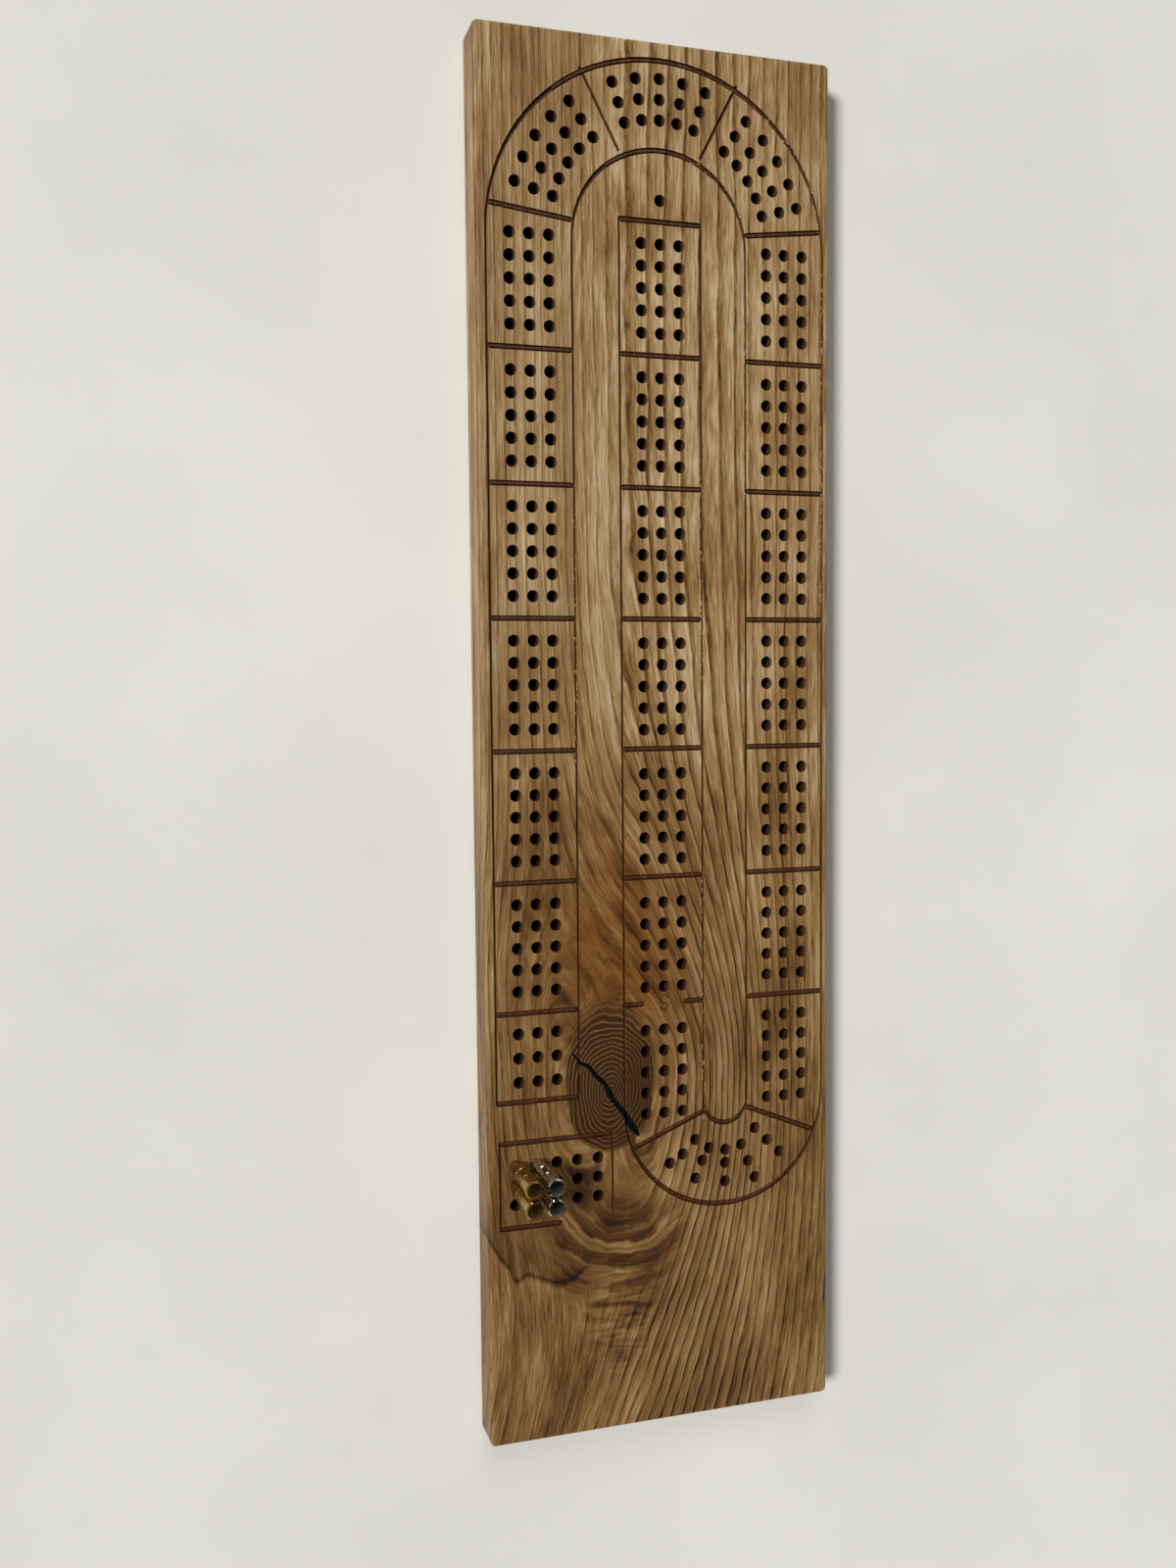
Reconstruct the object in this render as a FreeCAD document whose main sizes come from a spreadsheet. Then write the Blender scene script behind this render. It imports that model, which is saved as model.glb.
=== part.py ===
import FreeCAD, Part
import os

import Sketcher

# A one-piece wooden cribbage board for three players, with four turned metal pegs in it.
# The board lies flat: +Z is up out of the playing face, +Y runs from the foot of the board to its
# arched end, and +X is to the right of someone who faces the board with the arch away from them.
# The origin is the centre of the underside. Every length is in millimetres, every angle in degrees.

SIZES = {
    # the plank
    "board_length": 381.0,
    "board_width": 101.6,
    "board_thickness": 12.0,
    "corner_round": 1.5,       # the four upright corners
    "edge_round": 1.0,         # the edges round both faces
    # the peg holes: three lanes run side by side in each track
    "hole_diameter": 3.3,
    "hole_depth": 8.2,
    "row_step": 5.93,          # from hole to hole along a lane
    "lane_step": 5.41,         # from lane to lane across a track
    "group_rows": 5,           # rows of holes in a group; one empty row parts the groups
    "right_groups": 7,         # groups in the right track, and in the centre track
    "left_groups": 6,          # groups in the left track, before its start rows
    "track_offset": 36.7,      # from the centre track to the left and the right track
    "layout_shift": 0.4,       # the layout stands this far to the right of the plank's middle
    "arch_from_end": 51.8,     # from the arched end to the centre of the arch
    "first_row": 1.4,          # from the arch centre down to the first straight row
    "finish_rise": 10.2,       # from the arch centre up to the finishing hole
    "arch_angle": 9.23,        # between rows of holes round the arch
    "arch_groups": 3,
    "start_gap": 11.6,         # from the left track's last row down to the first start row
    "start_step": 6.67,
    "start_rows": 3,
    "centre_creep": 0.32,      # each centre group is cut this much further down than the last
    # the half-turn at the foot that joins the centre track to the right track
    "turn_rise": 0.4,          # from the right track's last row up to the centre of the turn
    "turn_angle": 22.5,
    "turn_slip": 1.6,          # some of its holes, and the arch grooves, were cut this much low
    # the block of holes that counts games won
    "games_columns": 5,
    "games_rows": 3,
    "games_inset": 6.8,        # its first column stands this far left of the left track's centre
    "games_drop": 12.8,        # its first row stands this far below the centre of the turn
    "games_margin_x": 4.25,
    "games_margin_y": 6.4,
    "games_foot_line": 17.6,   # the routed line below the block, which fades out before the corner
    # the routed lines: the cutter went round twice, the second time a little further down
    "cutter": 0.65,
    "second_pass": 0.9,
    "groove_depth": 0.8,
    "track_half": 11.75,       # from a track's centre to its outlines
    "skunk_arm": 5.9,          # the two short lines beside the letter at the skunk line
    # the letter S at the skunk line
    "letter_radius": 1.1,
    "letter_line": 0.35,
    "letter_depth": 0.3,
    # the crack across the knot, filled with black resin
    "crack_x": -16.3,          # the middle of the crack, from the centre of the arch
    "crack_y": -232.9,
    "crack_depth": 5.0,
    # a peg
    "peg_clearance": 0.05,     # all round its shank
    "peg_tip_gap": 0.3,        # from its tip to the floor of the hole
    "peg_rise": 20.6,          # from the face to the end of its head
    "peg_head_diameter": 5.0,
    "peg_collar": 0.8,         # the shank runs on this far above the face
    "peg_neck": 3.2,           # then a cone of this length widens to the foot of the head
    "peg_foot_diameter": 4.0,  # from there the head tapers out to its full diameter
    "peg_ring_one": 8.3,       # two ring grooves, their middles this far above the face
    "peg_ring_two": 13.9,
    "peg_ring_width": 0.8,
    "peg_ring_depth": 0.35,
    "peg_chamfer": 0.4,
}

TOP = "sizes.board_thickness"
ARCH_X = "sizes.layout_shift"
ARCH_Y = "(sizes.board_length / 2 - sizes.arch_from_end)"
ROW_ONE_Y = f"({ARCH_Y} - sizes.first_row)"
GROUP_STEP = "((sizes.group_rows + 1) * sizes.row_step)"
ARCH_GROUP_ANGLE = "((sizes.group_rows + 1) * sizes.arch_angle)"
ARCH_FIRST_GAP = f"(90 - sizes.arch_groups / 2 * {ARCH_GROUP_ANGLE})"
ARCH_FIRST_ROW = f"({ARCH_FIRST_GAP} + sizes.arch_angle)"
LEFT_X = f"({ARCH_X} - sizes.track_offset)"
RIGHT_X = f"({ARCH_X} + sizes.track_offset)"
LEFT_LAST_Y = f"({ROW_ONE_Y} - sizes.left_groups * {GROUP_STEP} + 2 * sizes.row_step)"
START_Y = f"({LEFT_LAST_Y} - sizes.start_gap)"
LEFT_FOOT_Y = f"({START_Y} - (sizes.start_rows - 1) * sizes.start_step - sizes.lane_step)"
TRACK_END_Y = f"({ROW_ONE_Y} - sizes.right_groups * {GROUP_STEP} + 2 * sizes.row_step)"
TURN_X = f"({ARCH_X} + sizes.track_offset / 2)"
TURN_Y = f"({TRACK_END_Y} + sizes.turn_rise)"
TURN_RADIUS = "(sizes.track_offset / 2)"
GAMES_X = f"({LEFT_X} - sizes.games_inset)"
GAMES_Y = f"({TURN_Y} - sizes.games_drop)"
SKUNK_Y = f"({ROW_ONE_Y} - (sizes.right_groups - 1) * {GROUP_STEP} + sizes.row_step)"
GAMES_LEFT = f"({GAMES_X} - sizes.games_margin_x)"
GAMES_RIGHT = f"({GAMES_X} + (sizes.games_columns - 1) * sizes.row_step + sizes.games_margin_x)"
GAMES_TOP = f"({GAMES_Y} + sizes.games_margin_y)"
GAMES_FOOT = f"({GAMES_Y} - (sizes.games_rows - 1) * sizes.lane_step - sizes.games_margin_y)"
WIDE_LINE = "(sizes.cutter + sizes.second_pass)"      # a line across the board: both passes side by side
STEEP_LINE = "(sizes.cutter + sizes.second_pass / 4)"  # a line nearly along it: they overlap
OVERSHOOT = 1.0                # cutting tools stand this far out of the face
DRILL_TOP = f"({TOP} + {OVERSHOOT})"

document = FreeCAD.newDocument("cribbage_board")


def make_sheet():
    """Write every driving dimension into the sheet, one row each."""
    sheet = document.addObject("Spreadsheet::Sheet", "sizes")
    for row, (name, value) in enumerate(SIZES.items(), start=1):
        sheet.set(f"A{row}", name)
        sheet.set(f"B{row}", str(value))
        sheet.setAlias(f"B{row}", name)
    document.recompute()


def value(expression):
    """What an expression comes to with the sizes as they stand."""
    return float(document.getObject("sizes").evalExpression(expression))


def origin_feature(body, role):
    return next(item for item in body.Origin.OriginFeatures if item.Role == role)


def place_sketch(body, name, plane="XY_Plane", x="0", y="0", z="0", turn="0"):
    """A sketch on one of the body's own planes, its origin and its turn bound to the sheet."""
    sketch = body.newObject("Sketcher::SketchObject", name)
    sketch.AttachmentSupport = [(origin_feature(body, plane), "")]
    sketch.MapMode = "FlatFace"
    sketch.AttachmentOffset = FreeCAD.Placement(
        FreeCAD.Vector(), FreeCAD.Rotation(FreeCAD.Vector(0, 0, 1), 1))
    for letter, expression in (("x", x), ("y", y), ("z", z)):
        sketch.setExpression(f"AttachmentOffset.Base.{letter}", f"({expression}) * 1 mm")
    sketch.setExpression("AttachmentOffset.Rotation.Angle", f"({turn}) * 1 deg")
    return sketch


def bind(sketch, kind, *references, to):
    """Add a constraint with a size, and bind the size to an expression."""
    index = sketch.addConstraint(Sketcher.Constraint(kind, *references, value(to)))
    sketch.setExpression(f"Constraints[{index}]", to)


def place_point(sketch, geometry, point, x, y):
    """Hold one point of a sketch at x, y from the sketch's origin."""
    bind(sketch, "DistanceX", -1, 1, geometry, point, to=x)
    bind(sketch, "DistanceY", -1, 1, geometry, point, to=y)


def vector(x, y):
    return FreeCAD.Vector(value(x), value(y), 0)


def polygon(sketch, points):
    """A closed outline of straight sides through points given as pairs of expressions."""
    count = len(points)
    corners = [vector(x, y) for x, y in points]
    for index in range(count):
        sketch.addGeometry(Part.LineSegment(corners[index], corners[(index + 1) % count]))
    for index, (x, y) in enumerate(points):
        sketch.addConstraint(Sketcher.Constraint("Coincident", index, 2, (index + 1) % count, 1))
        place_point(sketch, index, 1, x, y)


def rectangle(sketch, width, height):
    """A rectangle centred on the sketch's origin."""
    polygon(sketch, [(f"{across} * {width} / 2", f"{along} * {height} / 2")
                     for across, along in ((-1, -1), (1, -1), (1, 1), (-1, 1))])


def hole(sketch, x, y):
    """The circle of one peg hole."""
    radius = value("sizes.hole_diameter / 2")
    circle = sketch.addGeometry(Part.Circle(vector(x, y), FreeCAD.Vector(0, 0, 1), radius))
    bind(sketch, "Diameter", circle, to="sizes.hole_diameter")
    place_point(sketch, circle, 3, x, y)


def polar_hole(sketch, radius, angle):
    hole(sketch, f"{radius} * cos({angle} * 1 deg)", f"{radius} * sin({angle} * 1 deg)")


def lanes(sketch):
    """A row of three holes across a track, centred on the sketch's origin."""
    for side in (-1, 0, 1):
        hole(sketch, f"{side} * sizes.lane_step", "0")


def slot(sketch, offset, start, end, width):
    """A straight routed line with round ends, along the sketch's x axis or offset from it."""
    half = value(f"{width} / 2")
    caps = {}
    for side, place in ((-1, f"{start} + {width} / 2"), (1, f"{end} - {width} / 2")):
        middle = vector(place, offset)
        low, tip, high = (middle + FreeCAD.Vector(x, y, 0) * half
                          for x, y in ((0, -side), (side, 0), (0, side)))
        cap = sketch.addGeometry(Part.Arc(low, tip, high))
        bind(sketch, "Radius", cap, to=f"{width} / 2")
        place_point(sketch, cap, 3, place, offset)
        for end_point in (1, 2):
            sketch.addConstraint(Sketcher.Constraint("Vertical", cap, 3, cap, end_point))
        caps[side] = cap
    for side in (-1, 1):
        line = sketch.addGeometry(Part.LineSegment(sketch.getPoint(caps[side], 2),
                                                   sketch.getPoint(caps[-side], 1)))
        sketch.addConstraint(Sketcher.Constraint("Coincident", line, 1, caps[side], 2))
        sketch.addConstraint(Sketcher.Constraint("Coincident", line, 2, caps[-side], 1))


def crescent(sketch, radius):
    """A routed half ring above the sketch's x axis, wide at its top where the passes part."""
    arcs = []
    for edge_radius, rise in ((f"({radius} + sizes.cutter / 2)", "sizes.second_pass / 2"),
                              (f"({radius} - sizes.cutter / 2)", "-sizes.second_pass / 2")):
        reach = FreeCAD.Vector(value(f"sqrt({edge_radius} ^ 2 - ({rise}) ^ 2)"), 0, 0)
        arc = sketch.addGeometry(Part.Arc(reach, vector("0", f"{rise} + {edge_radius}"), -reach))
        bind(sketch, "Radius", arc, to=edge_radius)
        place_point(sketch, arc, 3, "0", rise)
        for end in (1, 2):
            sketch.addConstraint(Sketcher.Constraint("PointOnObject", arc, end, -1))
        arcs.append(arc)
    outer, inner = arcs
    for end in (1, 2):
        line = sketch.addGeometry(Part.LineSegment(sketch.getPoint(outer, end),
                                                   sketch.getPoint(inner, end)))
        sketch.addConstraint(Sketcher.Constraint("Coincident", line, 1, outer, end))
        sketch.addConstraint(Sketcher.Constraint("Coincident", line, 2, inner, end))


def letter_s(sketch):
    """A single-line letter S of two three-quarter arcs, centred on the sketch's origin."""
    for sign in (1, -1):
        middle = FreeCAD.Vector(0, sign * value("sizes.letter_radius"), 0)
        for edge in ("+", "-"):
            edge_radius = f"(sizes.letter_radius {edge} sizes.letter_line / 2)"
            reach = sign * value(edge_radius)
            points = [middle + FreeCAD.Vector(reach * x, reach * y, 0)
                      for x, y in ((1, 0), (-0.6, 0.8), (0, -1))]
            arc = sketch.addGeometry(Part.Arc(*points))
            bind(sketch, "Radius", arc, to=edge_radius)
            place_point(sketch, arc, 3, "0", f"{sign} * sizes.letter_radius")
    for outer, inner in ((0, 1), (2, 3)):
        cap = sketch.addGeometry(Part.LineSegment(sketch.getPoint(outer, 1), sketch.getPoint(inner, 1)))
        sketch.addConstraint(Sketcher.Constraint("Coincident", cap, 1, outer, 1))
        sketch.addConstraint(Sketcher.Constraint("Coincident", cap, 2, inner, 1))
        for arc in (outer, inner):
            sketch.addConstraint(Sketcher.Constraint("Horizontal", arc, 3, arc, 1))
    for arc in (0, 1, 2, 3):
        sketch.addConstraint(Sketcher.Constraint("Vertical", arc, 3, arc, 2))


def pocket(body, sketch, depth):
    cut = body.newObject("PartDesign::Pocket", f"{sketch.Name}_cut")
    cut.Profile = sketch
    cut.setExpression("Length", depth)
    sketch.Visibility = False
    return cut


def drill(body, sketch):
    """The wood that a drill takes out at each circle of a sketch, and a little above the face."""
    bore = body.newObject("PartDesign::Pad", f"{sketch.Name}_bore")
    bore.Profile = sketch
    bore.Reversed = True
    bore.setExpression("Length", f"sizes.hole_depth + {OVERSHOOT}")
    sketch.Visibility = False
    return bore


def repeat(body, feature, *directions):
    """Repeat a feature along each direction in turn, given as (axis, reversed, step, count)."""
    patterns = []
    for number, (axis, reverse, step, count) in enumerate(directions, start=1):
        pattern = body.newObject("PartDesign::LinearPattern", f"{feature.Name}_run_{number}")
        pattern.Direction = (origin_feature(body, axis), [""])
        pattern.Reversed = reverse
        pattern.Mode = "Spacing"
        pattern.setExpression("Offset", step)
        pattern.setExpression("Occurrences", count)
        patterns.append(pattern)
    gather(body, feature, patterns)


def repeat_round(body, feature, *turns):
    """Repeat a feature round its own sketch's origin, each turn given as (angle, count)."""
    patterns = []
    for number, (angle, count) in enumerate(turns, start=1):
        pattern = body.newObject("PartDesign::PolarPattern", f"{feature.Name}_turn_{number}")
        pattern.Axis = (feature.Profile[0], ["N_Axis"])
        pattern.Mode = "Spacing"
        pattern.setExpression("Offset", f"({angle}) * 1 deg")
        pattern.setExpression("Occurrences", count)
        patterns.append(pattern)
    gather(body, feature, patterns)


def gather(body, feature, patterns):
    """Apply patterns to a feature, one on top of the other."""
    field = body.newObject("PartDesign::MultiTransform", f"{feature.Name}_field")
    field.Originals = [feature]
    field.Transformations = patterns
    body.Tip = field


def down(step, count):
    return "Y_Axis", True, step, count


def make_plank(body):
    """The plank itself, its corners and the edges of both faces rounded."""
    outline = place_sketch(body, "outline")
    rectangle(outline, "sizes.board_width", "sizes.board_length")
    plank = body.newObject("PartDesign::Pad", "plank")
    plank.Profile = outline
    plank.setExpression("Length", TOP)
    document.recompute()
    for name, size, upright, wanted in (("corners", "sizes.corner_round", True, 4),
                                        ("edges", "sizes.edge_round", False, 16)):
        base = body.Tip
        names = [f"Edge{number}" for number, edge in enumerate(base.Shape.Edges, start=1)
                 if (edge.BoundBox.ZLength > edge.BoundBox.DiagonalLength * 0.9) == upright]
        if len(names) != wanted:
            raise RuntimeError(f"{name}: {len(names)} edges")
        fillet = body.newObject("PartDesign::Fillet", name)
        fillet.Base = (base, names)
        fillet.setExpression("Radius", size)
        document.recompute()


def drill_tracks(body):
    """The straight lanes of the left, right and centre tracks, and the left track's start rows."""
    rows = down("sizes.row_step", "sizes.group_rows")
    creeping = f"{GROUP_STEP} + sizes.centre_creep"
    tracks = (
        ("left_row", LEFT_X, ROW_ONE_Y, (rows, down(GROUP_STEP, "sizes.left_groups"))),
        ("right_row", RIGHT_X, ROW_ONE_Y, (rows, down(GROUP_STEP, "sizes.right_groups"))),
        ("centre_row", ARCH_X, ROW_ONE_Y, (rows,)),
        ("centre_low_row", ARCH_X, f"{ROW_ONE_Y} - {GROUP_STEP}",
         (rows, down(creeping, "sizes.right_groups - 1"))),
        ("start_row", LEFT_X, START_Y, (down("sizes.start_step", "sizes.start_rows"),)),
    )
    for name, x, y, directions in tracks:
        sketch = place_sketch(body, name, x=x, y=y, z=DRILL_TOP)
        lanes(sketch)
        repeat(body, drill(body, sketch), *directions)


def drill_arch(body):
    """Three groups of rows round the arch, and the finishing hole inside it."""
    sketch = place_sketch(body, "arch_row", x=ARCH_X, y=ARCH_Y, z=DRILL_TOP, turn=ARCH_FIRST_ROW)
    for lane in (-1, 0, 1):
        hole(sketch, f"sizes.track_offset + {lane} * sizes.lane_step", "0")
    repeat_round(body, drill(body, sketch), ("sizes.arch_angle", "sizes.group_rows"),
                 (ARCH_GROUP_ANGLE, "sizes.arch_groups"))
    finish = place_sketch(body, "finish_hole", x=ARCH_X, y=f"{ARCH_Y} + sizes.finish_rise", z=DRILL_TOP)
    hole(finish, "0", "0")
    drill(body, finish)


def drill_turn(body):
    """The half-turn at the foot: a fan of five rows, some of whose holes were cut low."""
    low = {(1, 1), (0, -2), (0, 1), (-1, -2), (-1, -1), (-1, 0), (-1, 1)}
    for name, drop in (("turn_true", "0"), ("turn_low", "sizes.turn_slip")):
        sketch = place_sketch(body, name, x=TURN_X, y=f"{TURN_Y} - {drop}", z=DRILL_TOP)
        for lane in (-1, 0, 1):
            for step in (-2, -1, 0, 1, 2):
                if ((lane, step) in low) == (name == "turn_low"):
                    polar_hole(sketch, f"({TURN_RADIUS} + {lane} * sizes.lane_step)",
                               f"(270 + {step} * sizes.turn_angle)")
        drill(body, sketch)


def drill_games(body):
    """The block of holes for games won, one row for each player."""
    sketch = place_sketch(body, "games_hole", x=GAMES_X, y=GAMES_Y, z=DRILL_TOP)
    hole(sketch, "0", "0")
    repeat(body, drill(body, sketch), ("X_Axis", False, "sizes.row_step", "sizes.games_columns"),
           down("sizes.lane_step", "sizes.games_rows"))


def route(body, name, *lines, **place):
    """Straight routed lines that lie one way, each given as (offset, start, end, width)."""
    sketch = place_sketch(body, name, z=TOP, **place)
    for line in lines:
        slot(sketch, *line)
    return pocket(body, sketch, "sizes.groove_depth")


def route_outlines(body):
    """The lines down both sides of each track and of the games block."""
    arch_foot = f"{ARCH_Y} - sizes.turn_slip"
    sides = (
        (f"{LEFT_X} - sizes.track_half", LEFT_FOOT_Y, arch_foot),
        (f"{LEFT_X} + sizes.track_half", LEFT_FOOT_Y, arch_foot),
        (f"{RIGHT_X} - sizes.track_half", TURN_Y, arch_foot),
        (f"{RIGHT_X} + sizes.track_half", TURN_Y, arch_foot),
        (f"{ARCH_X} - sizes.track_half", TURN_Y, f"{ROW_ONE_Y} + sizes.row_step"),
        (f"{ARCH_X} + sizes.track_half", TURN_Y, f"{ROW_ONE_Y} + sizes.row_step"),
        (GAMES_LEFT, GAMES_FOOT, GAMES_TOP),
        (GAMES_RIGHT, f"{GAMES_FOOT} + {WIDE_LINE}", GAMES_TOP),
    )
    lines = [(f"-({x})", f"{low} - sizes.cutter", f"{high} + sizes.cutter", "sizes.cutter")
             for x, low, high in sides]
    route(body, "lines_along", *lines, turn="90")


def route_arcs(body):
    """The two arches that join the left and right tracks, and the two arcs of the turn."""
    for name, x, y, turn, middle in (
            ("arch_arcs", ARCH_X, f"{ARCH_Y} - sizes.turn_slip", "0", "sizes.track_offset"),
            ("turn_arcs", TURN_X, TURN_Y, "180", TURN_RADIUS)):
        sketch = place_sketch(body, name, x=x, y=y, z=TOP, turn=turn)
        for side in (1, -1):
            crescent(sketch, f"({middle} + {side} * sizes.track_half)")
        pocket(body, sketch, "sizes.groove_depth")


def route_dividers(body):
    """The lines across the tracks in the empty rows, and across the arch and the turn."""
    first_gap = f"{ROW_ONE_Y} - sizes.group_rows * sizes.row_step"
    across = [(y, f"{x} - sizes.track_half", f"{x} + sizes.track_half", WIDE_LINE)
              for x, y in ((LEFT_X, first_gap), (RIGHT_X, first_gap),
                           (ARCH_X, f"{ROW_ONE_Y} + sizes.row_step"))]
    repeat(body, route(body, "lines_across", *across), down(GROUP_STEP, "sizes.right_groups - 1"))
    singles = (
        (LEFT_FOOT_Y, f"{LEFT_X} - sizes.track_half", f"{LEFT_X} + sizes.track_half", WIDE_LINE),
        (SKUNK_Y, f"{ARCH_X} - sizes.track_half", f"{ARCH_X} - sizes.track_half + sizes.skunk_arm",
         WIDE_LINE),
        (SKUNK_Y, f"{ARCH_X} + sizes.track_half - sizes.skunk_arm", f"{ARCH_X} + sizes.track_half",
         WIDE_LINE),
        (GAMES_TOP, GAMES_LEFT, GAMES_RIGHT, WIDE_LINE),
        (GAMES_FOOT, GAMES_LEFT, f"{GAMES_LEFT} + sizes.games_foot_line", WIDE_LINE),
    )
    route(body, "lines_once", *singles)
    for name, x, y, middle, first, apart, width in (
            ("arch_ends", ARCH_X, ARCH_Y, "sizes.track_offset", ARCH_FIRST_GAP,
             f"sizes.arch_groups * {ARCH_GROUP_ANGLE}", WIDE_LINE),
            ("arch_gaps", ARCH_X, ARCH_Y, "sizes.track_offset", f"{ARCH_FIRST_GAP} + {ARCH_GROUP_ANGLE}",
             ARCH_GROUP_ANGLE, STEEP_LINE),
            ("turn_ends", TURN_X, TURN_Y, TURN_RADIUS, "270 - 3 * sizes.turn_angle",
             "6 * sizes.turn_angle", WIDE_LINE)):
        line = ("0", f"{middle} - sizes.track_half", f"{middle} + sizes.track_half", width)
        repeat_round(body, route(body, name, line, x=x, y=y, turn=first), (apart, "2"))


def mark_skunk_line(body):
    """The letter at the skunk line, cut lightly with a fine point."""
    sketch = place_sketch(body, "skunk_letter", x=ARCH_X, y=SKUNK_Y, z=TOP)
    letter_s(sketch)
    pocket(body, sketch, "sizes.letter_depth")


def make_body(name, stages):
    """A body built up by one stage after another."""
    body = document.addObject("PartDesign::Body", name)
    body.AllowCompound = True
    for stage in stages:
        stage(body)
        document.recompute()
    return body


def make_crack():
    """The crack, as a prism that reaches out of the face: a wandering line of changing width."""
    course = (  # across, up the board, half width, from the middle of the crack
        (-10.6, 11.8, 0.25), (-8.5, 9.0, 0.45), (-6.2, 7.9, 0.55), (-3.6, 4.6, 0.7),
        (-1.4, 2.5, 0.65), (0.0, -0.4, 0.85), (1.5, -2.9, 0.75), (3.9, -5.9, 0.8),
        (5.6, -8.7, 0.95), (6.9, -10.8, 1.05), (8.6, -13.2, 0.35),
    )
    middles = [FreeCAD.Vector(x, y, 0) for x, y, half in course]
    left, right = [], []
    for index, (x, y, half) in enumerate(course):
        ahead = middles[min(index + 1, len(course) - 1)] - middles[max(index - 1, 0)]
        across = FreeCAD.Vector(-ahead.y, ahead.x, 0).normalize() * half
        left.append(middles[index] + across)
        right.append(middles[index] - across)
    outline = left + right[::-1]
    body = document.addObject("PartDesign::Body", "crack")
    sketch = place_sketch(body, "crack_outline", x=f"{ARCH_X} + sizes.crack_x",
                          y=f"{ARCH_Y} + sizes.crack_y", z=DRILL_TOP)
    for start, end in zip(outline, outline[1:] + outline[:1]):
        sketch.addGeometry(Part.LineSegment(start, end))
    for index in range(len(outline)):
        follower = (index + 1) % len(outline)
        sketch.addConstraint(Sketcher.Constraint("Coincident", index, 2, follower, 1))
        sketch.addConstraint(Sketcher.Constraint("Block", index))
    prism = body.newObject("PartDesign::Pad", "crack_prism")
    prism.Profile = sketch
    prism.Reversed = True
    prism.setExpression("Length", f"sizes.crack_depth + {OVERSHOOT}")
    return body


def combine(kind, name, base, tool):
    """One shape cut from another, or what two shapes share."""
    result = document.addObject(kind, name)
    result.Base = base
    result.Tool = tool
    return result


def make_peg(name, column, row):
    """A turned peg: a shank in the hole, a neck above it and a tapered head with two ring grooves."""
    body = document.addObject("PartDesign::Body", name)
    shank = "(sizes.hole_diameter / 2 - sizes.peg_clearance)"
    tip = "-(sizes.hole_depth - sizes.peg_tip_gap)"
    foot, foot_radius = "(sizes.peg_collar + sizes.peg_neck)", "sizes.peg_foot_diameter / 2"
    end, end_radius = "(sizes.peg_rise - sizes.peg_chamfer)", "sizes.peg_head_diameter / 2"

    def on_taper(place, sunk="0"):
        share = f"(({place}) - {foot}) / ({end} - {foot})"
        return f"{foot_radius} + ({end_radius} - {foot_radius}) * {share} - {sunk}", place

    outline = [("0", tip), (f"{shank} - sizes.peg_chamfer", tip), (shank, f"{tip} + sizes.peg_chamfer"),
               (shank, "sizes.peg_collar"), (foot_radius, foot)]
    for ring in ("sizes.peg_ring_one", "sizes.peg_ring_two"):
        outline += [on_taper(f"{ring} - sizes.peg_ring_width / 2"),
                    on_taper(f"{ring} - sizes.peg_ring_width / 4", "sizes.peg_ring_depth"),
                    on_taper(f"{ring} + sizes.peg_ring_width / 4", "sizes.peg_ring_depth"),
                    on_taper(f"{ring} + sizes.peg_ring_width / 2")]
    outline += [(end_radius, end), (f"{end_radius} - sizes.peg_chamfer", "sizes.peg_rise"),
                ("0", "sizes.peg_rise")]
    sketch = place_sketch(body, f"{name}_profile", plane="XZ_Plane")
    polygon(sketch, outline)
    turned = body.newObject("PartDesign::Revolution", f"{name}_turned")
    turned.Profile = sketch
    turned.ReferenceAxis = (sketch, ["V_Axis"])
    turned.Angle = 360
    body.setExpression("Placement.Base.x", f"({GAMES_X} + {column} * sizes.row_step) * 1 mm")
    body.setExpression("Placement.Base.y", f"({GAMES_Y} - {row} * sizes.lane_step) * 1 mm")
    body.setExpression("Placement.Base.z", f"({TOP}) * 1 mm")
    return body


def check_cuts(body):
    """Each routed line takes wood away: one that points out of the face would not."""
    volumes = [feature.Shape.Volume for feature in body.Group
               if feature.TypeId in ("PartDesign::Pad", "PartDesign::Fillet", "PartDesign::Pocket",
                                     "PartDesign::MultiTransform")]
    if any(after >= before for before, after in zip(volumes, volumes[1:])):
        raise RuntimeError("a routed line cuts nothing")


def check_holes(drills, whole, drilled):
    """Every hole is whole and clear of the next, and takes its full volume less any line it meets."""
    one = value("pi * (sizes.hole_diameter / 2) ^ 2 * sizes.hole_depth")
    count = len(drills.Shape.Solids)
    print(f"{count} peg holes")
    if not 0.99 * count * one < whole.Shape.Volume - drilled.Shape.Volume < 1.001 * count * one:
        raise RuntimeError("the peg holes cut too little")


def export(parts):
    for item in document.Objects:
        if {"Invalid", "Error"} & set(item.State):
            raise RuntimeError(f"{item.Name}: {item.State}")
    os.makedirs("parts", exist_ok=True)
    for part in parts:
        if part.Shape.isNull() or not part.Shape.isValid():
            raise RuntimeError(f"{part.Label} has no valid shape")
        part.Shape.exportStep(f"parts/{part.Label}.step")
        box = part.Shape.BoundBox
        print(f"{part.Label:14s} {len(part.Shape.Solids)} solid, {part.Shape.Volume:10.2f} mm3, "
              f"{box.XLength:.2f} x {box.YLength:.2f} x {box.ZLength:.2f} mm")


make_sheet()
plank = make_body("routed_plank", (make_plank, route_outlines, route_arcs, route_dividers,
                                   mark_skunk_line))
drills = make_body("drills", (drill_tracks, drill_arch, drill_turn, drill_games))
crack = make_crack()
crack_fill = combine("Part::Common", "crack_fill", plank, crack)
split_plank = combine("Part::Cut", "split_plank", plank, crack)
board = combine("Part::Cut", "board", split_plank, drills)
pegs = [make_peg(f"peg_{metal}_{row + 1}", column, row)
        for row in (0, 1) for column, metal in enumerate(("brass", "silver"))]
document.recompute()
check_cuts(plank)
check_holes(drills, split_plank, board)
export([board, crack_fill] + pegs)
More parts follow.
